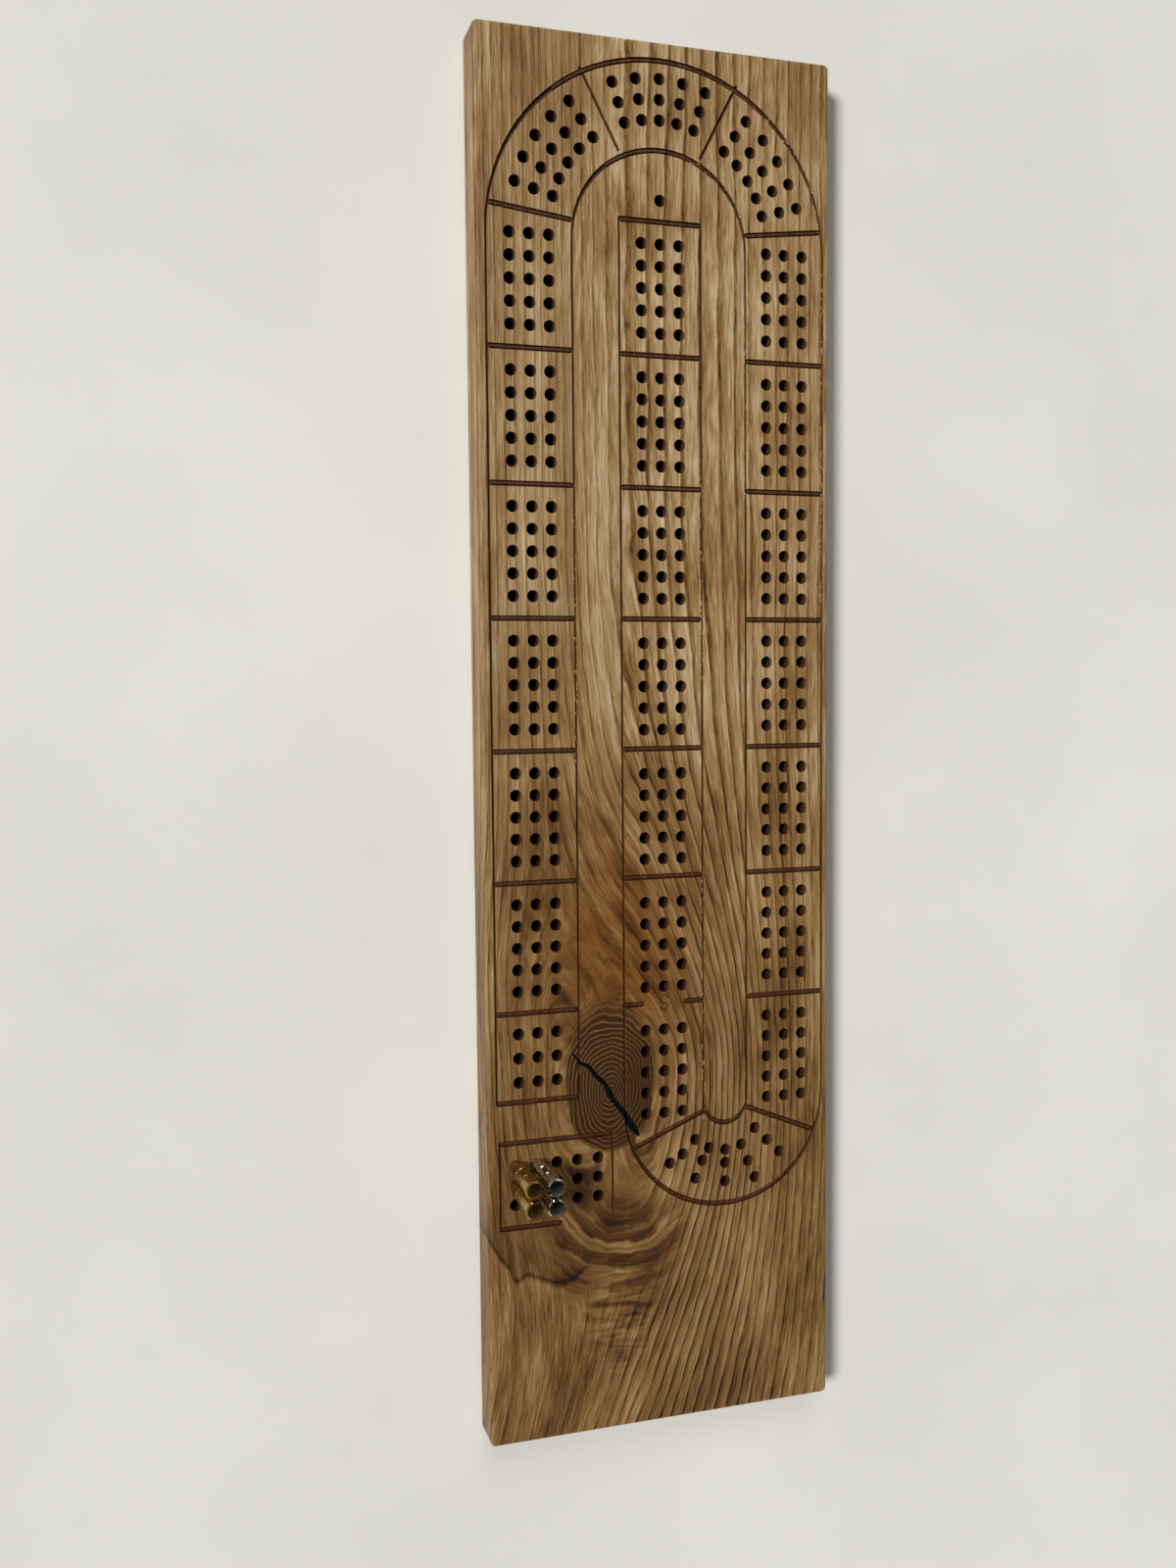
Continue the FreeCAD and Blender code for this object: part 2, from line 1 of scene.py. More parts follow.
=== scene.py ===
# %% [markdown]
# # A three-player cribbage board in oiled ash
#
# The CAD frame already holds every solid: the drilled and routed plank, the resin in its crack and
# four turned pegs. This script gives them their finishes, adds the wood that the cutter left
# standing in the routed lines, and lights the board on a pale table.
#
# Everything is in metres in the frame's own axes: +Z is up out of the playing face, +Y runs to
# the arched end.

# %% Load the frame
import math

import bpy
from mathutils import Matrix, Vector


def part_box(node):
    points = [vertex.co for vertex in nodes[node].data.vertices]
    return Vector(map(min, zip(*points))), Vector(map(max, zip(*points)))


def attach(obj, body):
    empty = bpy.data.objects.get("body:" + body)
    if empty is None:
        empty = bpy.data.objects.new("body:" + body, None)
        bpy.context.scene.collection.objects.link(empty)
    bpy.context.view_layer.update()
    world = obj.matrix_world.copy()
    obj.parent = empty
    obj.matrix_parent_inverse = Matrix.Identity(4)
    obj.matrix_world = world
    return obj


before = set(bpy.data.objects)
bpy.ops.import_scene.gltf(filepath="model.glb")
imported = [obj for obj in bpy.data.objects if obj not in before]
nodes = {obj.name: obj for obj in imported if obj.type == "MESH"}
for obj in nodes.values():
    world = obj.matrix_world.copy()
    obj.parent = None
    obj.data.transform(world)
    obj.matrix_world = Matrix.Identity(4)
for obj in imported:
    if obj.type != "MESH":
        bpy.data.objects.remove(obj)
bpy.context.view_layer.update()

scene = bpy.context.scene
MM = 0.001
print("nodes:", sorted(nodes))

# %% [markdown]
# ## The camera
#
# The board is seen from close by, from above and from its left, so its right edge looks clearly
# shorter than its left one. A camera is placed by its own three axes: the columns of its
# rotation are its right, its up, and the direction behind it. The lens follows from how wide the
# board looks from that near.

# %% Camera
CAMERA_PLACE = Vector((-136.8, 16.9, 383.2)) * MM
CAMERA_RIGHT = Vector((0.95469, -0.00888, 0.29748))
CAMERA_UP = Vector((0.02772, 0.99786, -0.05918))
CAMERA_BACK = Vector((-0.29632, 0.06475, 0.95289))
LENS = 32.8

camera_data = bpy.data.cameras.new("camera")
camera_data.lens = LENS
camera_data.clip_start = 0.01
camera = bpy.data.objects.new("camera", camera_data)
turn = Matrix((CAMERA_RIGHT, CAMERA_UP, CAMERA_BACK)).transposed()
camera.matrix_world = Matrix.Translation(CAMERA_PLACE) @ turn.to_4x4()
scene.collection.objects.link(camera)
scene.camera = camera
scene.view_settings.view_transform = "Standard"
print(f"camera {CAMERA_PLACE.length / MM:.0f} mm from the board's middle")

# %% [markdown]
# ## Colours and shader nodes
#
# Colours are written as the sRGB hex codes that a colour picker shows, and shaders want linear
# numbers, so one function turns one into the other. A second small function adds a node, gives it
# its settings and its inputs, and hands back an output. Every material below is built with it.

# %% Colour and node helpers
MATH = "ShaderNodeMath"
VECTOR_MATH = "ShaderNodeVectorMath"
NOISE = "ShaderNodeTexNoise"
MAP_RANGE = "ShaderNodeMapRange"
MIX = "ShaderNodeMix"


def colour(code):
    """An sRGB hex colour as linear red, green, blue and alpha."""
    parts = [int(code[start:start + 2], 16) / 255 for start in (0, 2, 4)]
    return [c / 12.92 if c <= 0.04045 else ((c + 0.055) / 1.055) ** 2.4 for c in parts] + [1.0]


def put(tree, kind, *inputs, named=(), out=0, stops=(), curve=(), **settings):
    """Add a node and return one of its outputs. Inputs are values or other nodes' outputs."""
    node = tree.nodes.new(kind)
    for name, setting in settings.items():
        setattr(node, name, setting)
    for key, given in list(enumerate(inputs)) + list(dict(named).items()):
        if isinstance(given, bpy.types.NodeSocket):
            tree.links.new(given, node.inputs[key])
        elif given is not None:
            node.inputs[key].default_value = given
    for number, (position, code) in enumerate(stops):
        elements = node.color_ramp.elements
        stop = elements[number] if number < 2 else elements.new(position)
        stop.position, stop.color = position, colour(code)
    for number, point in enumerate(curve):
        line = node.mapping.curves[0]
        if number < 2:
            line.points[number].location = point
        else:
            line.points.new(*point)
    return node.outputs[out] if len(node.outputs) else node


def new_material(name):
    material = bpy.data.materials.new(name)
    material.use_nodes = True
    material.node_tree.nodes.clear()
    return material, material.node_tree


print("helpers: colour, put, new_material")


# %% [markdown]
# ## Oiled ash
#
# Ash is a ring-porous wood: each year's growth starts with a band of coarse open pores, which
# take up oil and look dark, and ends in dense pale wood. On a board those bands are the grain
# lines. They run straight along the plank until they come to a knot, where a branch grew, and
# part round it as water parts round a stone.
#
# So the material first works out one number for every point of the wood, how far across the
# grain it lies. Lines of equal value bend round the knot: the distance from the knot's axis is
# squeezed to nothing at the knot and left alone far away. The plank is treated as solid wood, so
# the lines carry on over its edges and down its holes.
#
# The shader could read a picture of wood instead, but a picture has no inside: it would stop at
# the face, and the holes and the ends of the board would need others.

# %% Sizes of the board and its knot
KNOT_X, KNOT_Y = -15.6, -92.0          # mm, the middle of the knot on the face
KNOT_HALF_X, KNOT_HALF_Y = 13.0, 19.6  # mm
FACE = 12.0                            # mm, the height of the playing face
HALF_LENGTH = 190.5                    # mm
THROUGH = 1e4                          # mm, so deep that an ellipse reaches through all the wood
print("the grain bends round a knot of", 2 * KNOT_HALF_X, "by", 2 * KNOT_HALF_Y, "mm")

# %% [markdown]
# Object coordinates are the frame's metres, so they are turned to millimetres once, and every
# size below can then be read as it would be off a ruler. The growth layers lean a little through
# the thickness, which is why the lines on the ends of the board slope.

# %% Millimetres inside the wood
ash, tree = new_material("oiled_ash")
place = put(tree, "ShaderNodeTexCoord", out="Object")
place = put(tree, VECTOR_MATH, place, named={"Scale": 1 / MM}, operation="SCALE")
X, Y, Z = put(tree, "ShaderNodeSeparateXYZ", place).node.outputs

LEAN, LEAN_LOSS = 0.8, 0.02            # sideways for each mm of depth, and how much less every mm
below = put(tree, MATH, Z, FACE, operation="SUBTRACT")
lean = put(tree, MATH, below, LEAN_LOSS, LEAN, operation="MULTIPLY_ADD")
lean = put(tree, MATH, below, lean, X, operation="MULTIPLY_ADD")
print("the layers lean", round(FACE * (LEAN - FACE * LEAN_LOSS), 1), "mm sideways in", FACE, "mm")

# %% [markdown]
# The grain of this plank doesn't run dead straight. Above the knot it has all drifted to the
# left, most of all near the knot's own line, and towards the foot it swings to the left again,
# further the nearer it is to the foot. Float curves draw the first drift. The points of
# one say how much of it is still to come on the way up the board, and those of the other how much
# of it there is on the way from the left edge to the right.

# %% Drift above the knot
DRIFT = 22.0                           # mm
along = put(tree, MAP_RANGE, Y, -HALF_LENGTH, HALF_LENGTH)
high_drift = put(tree, "ShaderNodeFloatCurve", 1.0, along, curve=(
    (0.0, 1.0), (1.0, 0.0), (0.26, 1.0), (0.31, 0.8), (0.353, 0.59), (0.4, 0.41), (0.45, 0.27),
    (0.5, 0.15), (0.57, 0.06), (0.66, 0.0)))
high_drift = put(tree, MAP_RANGE, high_drift, 0.0, 1.0, -DRIFT, 0.0)
sideways = put(tree, MAP_RANGE, X, -50.0, 50.0)
high_fade = put(tree, "ShaderNodeFloatCurve", 1.0, sideways, curve=(
    (0.0, 0.4), (1.0, 0.0), (0.15, 0.8), (0.28, 1.0), (0.45, 0.72), (0.6, 0.45), (0.74, 0.2),
    (0.88, 0.06)))
from_knot = put(tree, MATH, high_drift, high_fade, operation="MULTIPLY")
from_knot = put(tree, MATH, lean, from_knot, operation="SUBTRACT")
print("drift above the knot: up to", DRIFT, "mm")

# %% Swing towards the foot
SWING_FROM = -110.0                    # mm along the board
SWING_LEFT, SWING_RIGHT = 0.0021, 0.0006    # mm for each squared mm below that
low_part = put(tree, MATH, Y, SWING_FROM, operation="SUBTRACT")
low_part = put(tree, MATH, low_part, 0.0, operation="MINIMUM")
low_part = put(tree, MATH, low_part, low_part, operation="MULTIPLY")
low_fade = put(tree, MAP_RANGE, X, -10.0, 50.0, SWING_LEFT, SWING_RIGHT)
from_knot = put(tree, MATH, low_part, low_fade, from_knot, operation="MULTIPLY_ADD")
from_knot = put(tree, MATH, from_knot, KNOT_X, operation="SUBTRACT")
print("swing at the foot: up to", round((HALF_LENGTH + SWING_FROM) ** 2 * SWING_LEFT), "mm")

# %% [markdown]
# The squeeze is a bell curve round the knot, longer up the board than down it, because the fibres
# close again slowly above a branch. Two gentle noises then make the lines wander over a hand's
# breadth and ripple over a finger's, since no tree grows to a formula.

# %% Squeeze round the knot
SHORTER_UP, SHORTER_DOWN = 0.5, 0.55   # how lengths count against widths in the bell's oval
BELL_SPREAD = 924.0                    # mm squared, the bell's width times itself
SQUEEZE = 1.5                          # more than 1 folds the lines over inside the knot
up_board = put(tree, MATH, Y, KNOT_Y, operation="SUBTRACT")
up_part = put(tree, MATH, up_board, SHORTER_UP, operation="MULTIPLY")
down_part = put(tree, MATH, up_board, -SHORTER_DOWN, operation="MULTIPLY")
height = put(tree, MATH, up_part, down_part, operation="MAXIMUM")
height_squared = put(tree, MATH, height, height, operation="MULTIPLY")
reach = put(tree, MATH, from_knot, from_knot, height_squared, operation="MULTIPLY_ADD")
reach = put(tree, MATH, reach, -BELL_SPREAD, operation="DIVIDE")
squeeze = put(tree, MATH, reach, operation="EXPONENT")
squeeze = put(tree, MATH, squeeze, -SQUEEZE, 1.0, operation="MULTIPLY_ADD")
across = put(tree, MATH, from_knot, squeeze, operation="MULTIPLY")
print("the squeeze reaches some", round(math.sqrt(BELL_SPREAD)), "mm from the knot's axis")

# %% Wander and ripple
WANDERS_PER_MM = (0.045, 0.011, 0.045)      # waves 22 mm wide and 90 mm long
RIPPLES_PER_MM = (0.25, 0.07, 0.25)         # and others of 4 by 14 mm
WANDER, RIPPLE = 3.5, 0.9                   # mm across the grain
wander_place = put(tree, VECTOR_MATH, place, WANDERS_PER_MM, operation="MULTIPLY")
wander = put(tree, NOISE, wander_place, named={"Scale": 1.0, "Detail": 2.0})
across = put(tree, MATH, wander, WANDER, across, operation="MULTIPLY_ADD")
ripple_place = put(tree, VECTOR_MATH, place, RIPPLES_PER_MM, operation="MULTIPLY")
ripple = put(tree, NOISE, ripple_place, named={"Scale": 1.0, "Detail": 2.0})
across = put(tree, MATH, ripple, RIPPLE, across, operation="MULTIPLY_ADD")
print("distance across the grain:", len(tree.nodes), "nodes so far")

# %% [markdown]
# ### Years, pores and fibres
#
# To the right of the knot a year's growth is about 3 mm wide, and to its left about 4 mm. The
# fraction of a year drives a curve that starts dark, fades, and ends pale.

# %% A year's growth
YEAR_RIGHT, YEAR_LEFT = 3.0, 4.2       # mm

right_part = put(tree, MATH, across, 0.0, operation="MAXIMUM")
extra = 1 / YEAR_RIGHT - 1 / YEAR_LEFT
years = put(tree, MATH, right_part, extra, operation="MULTIPLY")
years = put(tree, MATH, across, 1 / YEAR_LEFT, years, operation="MULTIPLY_ADD")
season = put(tree, MATH, years, operation="FRACT")
ring = put(tree, "ShaderNodeFloatCurve", 1.0, season, curve=(
    (0.0, 0.25), (1.0, 0.25), (0.05, 0.0), (0.14, 0.12), (0.27, 0.5), (0.45, 0.64), (0.8, 0.8),
    (0.93, 0.88)))
print("a year's growth:", YEAR_LEFT, "mm left of the knot and", YEAR_RIGHT, "mm right of it")

# %% [markdown]
# Fine fibres and pores are noise that is drawn out along the grain: its coordinates are the
# distance across the grain and the distance along the board. Pores gather in the dark start of
# each year.

# %% Fibres and pores
# Real ash fibres are some 0.02 mm wide and wouldn't show, so they are drawn as bundles 0.4 mm wide
# and 10 mm long. Its largest pores are 0.3 mm wide and a few mm long, and are drawn at about that
# size, 0.36 by 3.6 mm.
FIBRES_PER_MM = (2.4, 0.1, 2.4)
PORES_PER_MM = (2.8, 0.28, 2.8)
grain_place = put(tree, "ShaderNodeCombineXYZ", across, Y, Z)
fibre_place = put(tree, VECTOR_MATH, grain_place, FIBRES_PER_MM, operation="MULTIPLY")
fibre = put(tree, NOISE, fibre_place, named={"Scale": 1.0, "Detail": 3.0, "Roughness": 0.65})
pore_place = put(tree, VECTOR_MATH, grain_place, PORES_PER_MM, operation="MULTIPLY")
pore = put(tree, NOISE, pore_place, named={"Scale": 1.0, "Detail": 2.0})
pore = put(tree, MAP_RANGE, pore, 0.54, 0.66)
early = put(tree, MAP_RANGE, ring, 0.65, 0.1, 0.35, 1.0)
pore = put(tree, MATH, pore, early, operation="MULTIPLY")
print("fibres and pores:", len(tree.nodes), "nodes so far")

# %% [markdown]
# Grain isn't equally bold everywhere. The lines are strongest right of the middle, weaker towards
# both edges, soft in the amber wood above the knot (the halo) and nearly gone in a calm patch at
# the lower left. One number, bold, gathers all that. Each patch is an ellipse: a Mapping node of
# the texture kind moves its centre to the origin and its rim to a distance of one.

# %% How bold the lines are
CLOUDS_PER_MM = (0.1, 0.03, 0.1)       # clouds 10 mm wide and 33 mm long
HALO_MIDDLE = (KNOT_X + 2.0, KNOT_Y + 34.0, 0.0)    # mm
HALO_HALF = (30.0, 50.0, THROUGH)
CALM_MIDDLE, CALM_HALF = (-33.0, -150.0, 0.0), (24.0, 36.0, THROUGH)
cloud_place = put(tree, VECTOR_MATH, grain_place, CLOUDS_PER_MM, operation="MULTIPLY")
cloud = put(tree, NOISE, cloud_place, named={"Scale": 1.0, "Detail": 3.0})
bold = put(tree, "ShaderNodeFloatCurve", 1.0, sideways, curve=(
    (0.0, 0.5), (1.0, 0.5), (0.3, 0.45), (0.42, 0.8), (0.55, 0.9), (0.7, 0.9), (0.8, 0.6)))
halo_place = put(tree, "ShaderNodeMapping", place, HALO_MIDDLE, None, HALO_HALF,
                 vector_type="TEXTURE")
halo_reach = put(tree, VECTOR_MATH, halo_place, operation="LENGTH", out="Value")
halo_reach = put(tree, MATH, cloud, 0.5, halo_reach, operation="MULTIPLY_ADD")
halo = put(tree, MAP_RANGE, halo_reach, 1.5, 0.6)
soft = put(tree, MAP_RANGE, halo, 0.0, 1.0, 1.0, 0.4)
bold = put(tree, MATH, bold, soft, operation="MULTIPLY")
calm_place = put(tree, "ShaderNodeMapping", place, CALM_MIDDLE, None, CALM_HALF,
                 vector_type="TEXTURE")
calm = put(tree, VECTOR_MATH, calm_place, operation="LENGTH", out="Value")
calm = put(tree, MAP_RANGE, calm, 0.75, 1.1, 0.25, 1.0)
bold = put(tree, MATH, bold, calm, operation="MULTIPLY")
bold_noise = put(tree, MAP_RANGE, ripple, 0.3, 0.7, 0.7, 1.2)
bold = put(tree, MATH, bold, bold_noise, operation="MULTIPLY")
print("boldness of the lines:", len(tree.nodes), "nodes so far")

# %% [markdown]
# The parts are now added up to one tone, from 0 for the darkest wood to 1 for the palest. The
# foot of the board is painted a little darker than its top, as painted shade where the light
# falls off, a long pale streak of painted sheen lies in the strip left of the centre track, and a
# few more patches are paler or darker than the wood round them.

# %% One tone
PLAIN_TONE = 0.57
RING_SHARE, FIBRE_SHARE, CLOUD_SHARE, PORE_SHARE = 0.48, 0.9, 0.7, -0.17
FOOT_SHADE, TOP_LIGHT = -0.19, 0.02
tone = put(tree, MATH, ring, 0.6, operation="SUBTRACT")
tone = put(tree, MATH, tone, bold, operation="MULTIPLY")
tone = put(tree, MATH, tone, RING_SHARE, PLAIN_TONE, operation="MULTIPLY_ADD")
fibre_tone = put(tree, MATH, fibre, 0.5, operation="SUBTRACT")
tone = put(tree, MATH, fibre_tone, FIBRE_SHARE, tone, operation="MULTIPLY_ADD")
cloud_tone = put(tree, MATH, cloud, 0.5, operation="SUBTRACT")
tone = put(tree, MATH, cloud_tone, CLOUD_SHARE, tone, operation="MULTIPLY_ADD")
tone = put(tree, MATH, pore, PORE_SHARE, tone, operation="MULTIPLY_ADD")
# Painted light falloff: the tone is painted darker towards the foot and slightly lighter near the top.
foot_falloff_light = put(tree, MAP_RANGE, Y, -HALF_LENGTH, 60.0, FOOT_SHADE, TOP_LIGHT)
tone = put(tree, MATH, tone, foot_falloff_light, operation="ADD")
# Each patch has its middle and its half width and length in mm, and how much paler it is. The
# first, the long pale streak, is painted sheen; the second lightens the upper part of the left
# track, and the others are paler or darker wood.
TONE_AND_SHEEN_PATCHES = (
    (-18.5, 38.0, 8.0, 75.0, 0.12), (-36.0, 80.0, 13.0, 85.0, 0.1),
    (37.0, -78.0, 13.0, 38.0, -0.12), (30.0, 178.0, 20.0, 14.0, 0.05))
for x, y, half_x, half_y, paler in TONE_AND_SHEEN_PATCHES:
    patch = put(tree, "ShaderNodeMapping", place, (x, y, 0.0), None, (half_x, half_y, THROUGH),
                vector_type="TEXTURE")
    patch = put(tree, VECTOR_MATH, patch, operation="LENGTH", out="Value")
    patch = put(tree, MATH, cloud, 0.8, patch, operation="MULTIPLY_ADD")
    patch = put(tree, MAP_RANGE, patch, 1.5, 0.6, 0.0, paler)
    tone = put(tree, MATH, tone, patch, operation="ADD")
print("plain wood:", len(tree.nodes), "nodes so far")

# %% [markdown]
# ### The knot
#
# The branch was cut across, so the knot shows its own rings, 1 to 1.5 mm apart, round a pith that
# lies a little below its middle. It is darker than the plank, with an edge that is crisp below and
# soft above. Above it the plank's fibres arch over it and the wood is amber; below it they swirl
# in smoky bands.

# %% Knot rings
PITH_Y = -93.8                         # mm
KNOT_WAVES_PER_MM = (0.11, 0.11, 0.11)    # 9 mm each way
RING_STEP = (1.0, 1.5, THROUGH)        # mm, from ring to ring across and along the board
knot_noise_place = put(tree, VECTOR_MATH, place, KNOT_WAVES_PER_MM, operation="MULTIPLY")
knot_noise = put(tree, NOISE, knot_noise_place, named={"Scale": 1.0, "Detail": 2.0})
knot_place = put(tree, "ShaderNodeMapping", place, (KNOT_X, KNOT_Y, 0.0), None,
                 (KNOT_HALF_X, KNOT_HALF_Y, THROUGH), vector_type="TEXTURE")
knot_reach = put(tree, VECTOR_MATH, knot_place, operation="LENGTH", out="Value")
knot_reach = put(tree, MATH, knot_noise, 0.16, knot_reach, operation="MULTIPLY_ADD")
knot_reach = put(tree, MATH, knot_reach, 0.08, operation="SUBTRACT")
knot_edge = put(tree, MAP_RANGE, Y, KNOT_Y, KNOT_Y + 20.0, 1.02, 1.35)
knot = put(tree, MAP_RANGE, knot_reach, knot_edge, 0.97)

pith_place = put(tree, "ShaderNodeMapping", place, (KNOT_X, PITH_Y, 0.0), None, RING_STEP,
                 vector_type="TEXTURE")
pith_reach = put(tree, VECTOR_MATH, pith_place, operation="LENGTH", out="Value")
pith_reach = put(tree, MATH, knot_noise, 3.2, pith_reach, operation="MULTIPLY_ADD")
pith_reach = put(tree, MATH, ripple, 0.8, pith_reach, operation="MULTIPLY_ADD")
knot_season = put(tree, MATH, pith_reach, operation="FRACT")
knot_ring = put(tree, "ShaderNodeFloatCurve", 1.0, knot_season, curve=(
    (0.0, 0.05), (1.0, 0.05), (0.35, 0.15), (0.5, 0.9), (0.6, 1.0), (0.72, 0.3)))
knot_bold = put(tree, MAP_RANGE, cloud, 0.35, 0.65, 0.5, 0.95)
knot_ring = put(tree, MATH, knot_ring, knot_bold, operation="MULTIPLY")
print("the pith lies", round(KNOT_Y - PITH_Y, 1), "mm below the middle of the knot")

# %% [markdown]
# Above the knot the fibres close over the branch in arches, and the amber wood has flames: short
# slanting streaks where the grain dips in and out of the face. The arches are a sine of the
# distance from the knot, and the flames are noise, turned by 30 degrees and drawn out.

# %% Arches and flames above the knot
FLAMES_PER_MM = (0.42, 0.05, 0.3)      # flames 2.4 mm wide and 20 mm long
FLAME_TURN = math.radians(-30)
above = put(tree, MAP_RANGE, up_board, 8.0, 24.0)
arch_noise = put(tree, MATH, ripple, 0.6, knot_reach, operation="MULTIPLY_ADD")
arch_wave = put(tree, MATH, arch_noise, 9.0, operation="MULTIPLY")
arch_wave = put(tree, MATH, arch_wave, operation="SINE")
arch_wave = put(tree, MATH, arch_wave, halo, operation="MULTIPLY")
arch_wave = put(tree, MATH, arch_wave, above, operation="MULTIPLY")
tone = put(tree, MATH, arch_wave, 0.05, tone, operation="MULTIPLY_ADD")
flame_place = put(tree, "ShaderNodeVectorRotate", place, None, (0.0, 0.0, 1.0),
                  FLAME_TURN, rotation_type="AXIS_ANGLE")
flame_place = put(tree, VECTOR_MATH, flame_place, FLAMES_PER_MM, operation="MULTIPLY")
flame = put(tree, NOISE, flame_place, named={"Scale": 1.0, "Detail": 4.0, "Distortion": 0.3})
flame = put(tree, MAP_RANGE, flame, 0.3, 0.7, -0.16, 0.16)
tone = put(tree, MATH, flame, halo, tone, operation="MULTIPLY_ADD")
print("flames leaning", round(-math.degrees(FLAME_TURN)), "degrees out of the grain")

# %% [markdown]
# Below the knot the fibres run round it in a whirl. Its bands are circles about a centre of their
# own, and one float curve says how light each band is from the inside out. Streaks follow the
# bands, and a smoky patch with a cloudy rim blends the whirl into the plain wood.

# %% The swirl below the knot
SWIRL_X, SWIRL_Y = -11.5, -118.0       # mm
SWIRL_INSIDE, SWIRL_OUTSIDE = 11.3, 37.3    # mm from its centre
SMOKE_MIDDLE, SMOKE_HALF = (-16.0, -135.0, 0.0), (25.0, 23.0, THROUGH)
STREAKS_PER_MM = (0.6, 0.05, 0.3)      # streaks 1.7 mm wide and 20 mm long
swirl_place = put(tree, "ShaderNodeMapping", place, (SWIRL_X, SWIRL_Y, 0.0), None,
                  (1.0, 1.0, THROUGH), vector_type="TEXTURE")
swirl_reach = put(tree, VECTOR_MATH, swirl_place, operation="LENGTH", out="Value")
swirl_reach = put(tree, MATH, knot_noise, 5.0, swirl_reach, operation="MULTIPLY_ADD")
swirl_reach = put(tree, MATH, ripple, 1.6, swirl_reach, operation="MULTIPLY_ADD")
swirl_band = put(tree, MAP_RANGE, swirl_reach, SWIRL_INSIDE, SWIRL_OUTSIDE)
swirl_band = put(tree, "ShaderNodeFloatCurve", 1.0, swirl_band, curve=(
    (0.0, 0.4), (1.0, 0.5), (0.2, 0.3), (0.33, 0.15), (0.42, 0.3), (0.465, 0.85), (0.495, 0.4),
    (0.53, 0.9), (0.57, 0.35), (0.635, 0.02), (0.71, 0.12), (0.77, 0.55), (0.88, 0.4)))
smoke_place = put(tree, "ShaderNodeMapping", place, SMOKE_MIDDLE, None, SMOKE_HALF,
                  vector_type="TEXTURE")
smoke = put(tree, VECTOR_MATH, smoke_place, operation="LENGTH", out="Value")
smoke = put(tree, MATH, cloud, 0.9, smoke, operation="MULTIPLY_ADD")
smoke = put(tree, MAP_RANGE, smoke, 1.5, 0.95)
streak_place = put(tree, "ShaderNodeCombineXYZ", swirl_reach, X, Z)
streak_place = put(tree, VECTOR_MATH, streak_place, STREAKS_PER_MM, operation="MULTIPLY")
streak = put(tree, NOISE, streak_place, named={"Scale": 1.0, "Detail": 4.0, "Roughness": 0.6})
streak = put(tree, MATH, streak, 0.5, operation="SUBTRACT")
swirl_tone = put(tree, MATH, swirl_band, 0.5, operation="SUBTRACT")
swirl_tone = put(tree, MATH, swirl_tone, 0.42, 0.3, operation="MULTIPLY_ADD")
smoke_noise = put(tree, MAP_RANGE, knot_noise, 0.3, 0.7, -0.12, 0.12)
swirl_tone = put(tree, MATH, swirl_tone, smoke_noise, operation="ADD")
smoky = put(tree, MAP_RANGE, swirl_reach, 8.0, 19.0, 0.25, 0.9)
swirl_tone = put(tree, MATH, streak, smoky, swirl_tone, operation="MULTIPLY_ADD")
tone = put(tree, MIX, named={0: smoke, 2: tone, 3: swirl_tone})
print("swirl round", SWIRL_X, SWIRL_Y, "mm")

# %% [markdown]
# A tree props up a heavy branch with reaction wood. Left of the swirl a wandering dark line is its
# edge: it parts smooth wood from the plain wood below. A float curve gives the line's height at
# each place across the board. The shade above the line weakens over 9 mm to under a third.

# %% The edge of the reaction wood
LINE_LEFT, LINE_RIGHT = -52.0, -20.0   # mm
LINE_LOW, LINE_HIGH = -150.0, -128.0   # mm
line_x = put(tree, MAP_RANGE, X, LINE_LEFT, LINE_RIGHT)
line_y = put(tree, "ShaderNodeFloatCurve", 1.0, line_x, curve=(
    (0.0, 0.95), (1.0, 0.32), (0.125, 0.59), (0.22, 0.39), (0.28, 0.24), (0.375, 0.3),
    (0.5, 0.23), (0.656, 0.14), (0.78, 0.18), (0.86, 0.27)))
line_y = put(tree, MAP_RANGE, line_y, 0.0, 1.0, LINE_LOW, LINE_HIGH)
line_gap = put(tree, MATH, Y, line_y, operation="SUBTRACT")
line_gap = put(tree, MATH, ripple, 2.5, line_gap, operation="MULTIPLY_ADD")
line_gap = put(tree, MATH, line_gap, 1.25, operation="SUBTRACT")
line_near = put(tree, MAP_RANGE, X, -26.0, -19.0, 1.0, 0.0)
line_thin = put(tree, MATH, line_gap, operation="ABSOLUTE")
line_thin = put(tree, MAP_RANGE, line_thin, 0.2, 1.3, 0.2, 0.0)
line_fade = put(tree, MAP_RANGE, line_gap, 9.0, 0.0, 0.05, 0.17)
line_over = put(tree, MATH, line_gap, 0.0, operation="GREATER_THAN")
line_fade = put(tree, MATH, line_fade, line_over, line_thin, operation="MULTIPLY_ADD")
line_fade = put(tree, MATH, line_fade, line_near, operation="MULTIPLY")
tone = put(tree, MATH, tone, line_fade, operation="SUBTRACT")
print("the dark line runs from x =", LINE_LEFT, "to", LINE_RIGHT, "mm")

# %% [markdown]
# Below the swirl the fibres lie in short waves across the board, which shine light and dark as
# their slopes turn to the lamp and away. That shine is painted light and shade in the tone:
# noise, 11 mm long across the board and 2.4 mm high, in an ellipse.

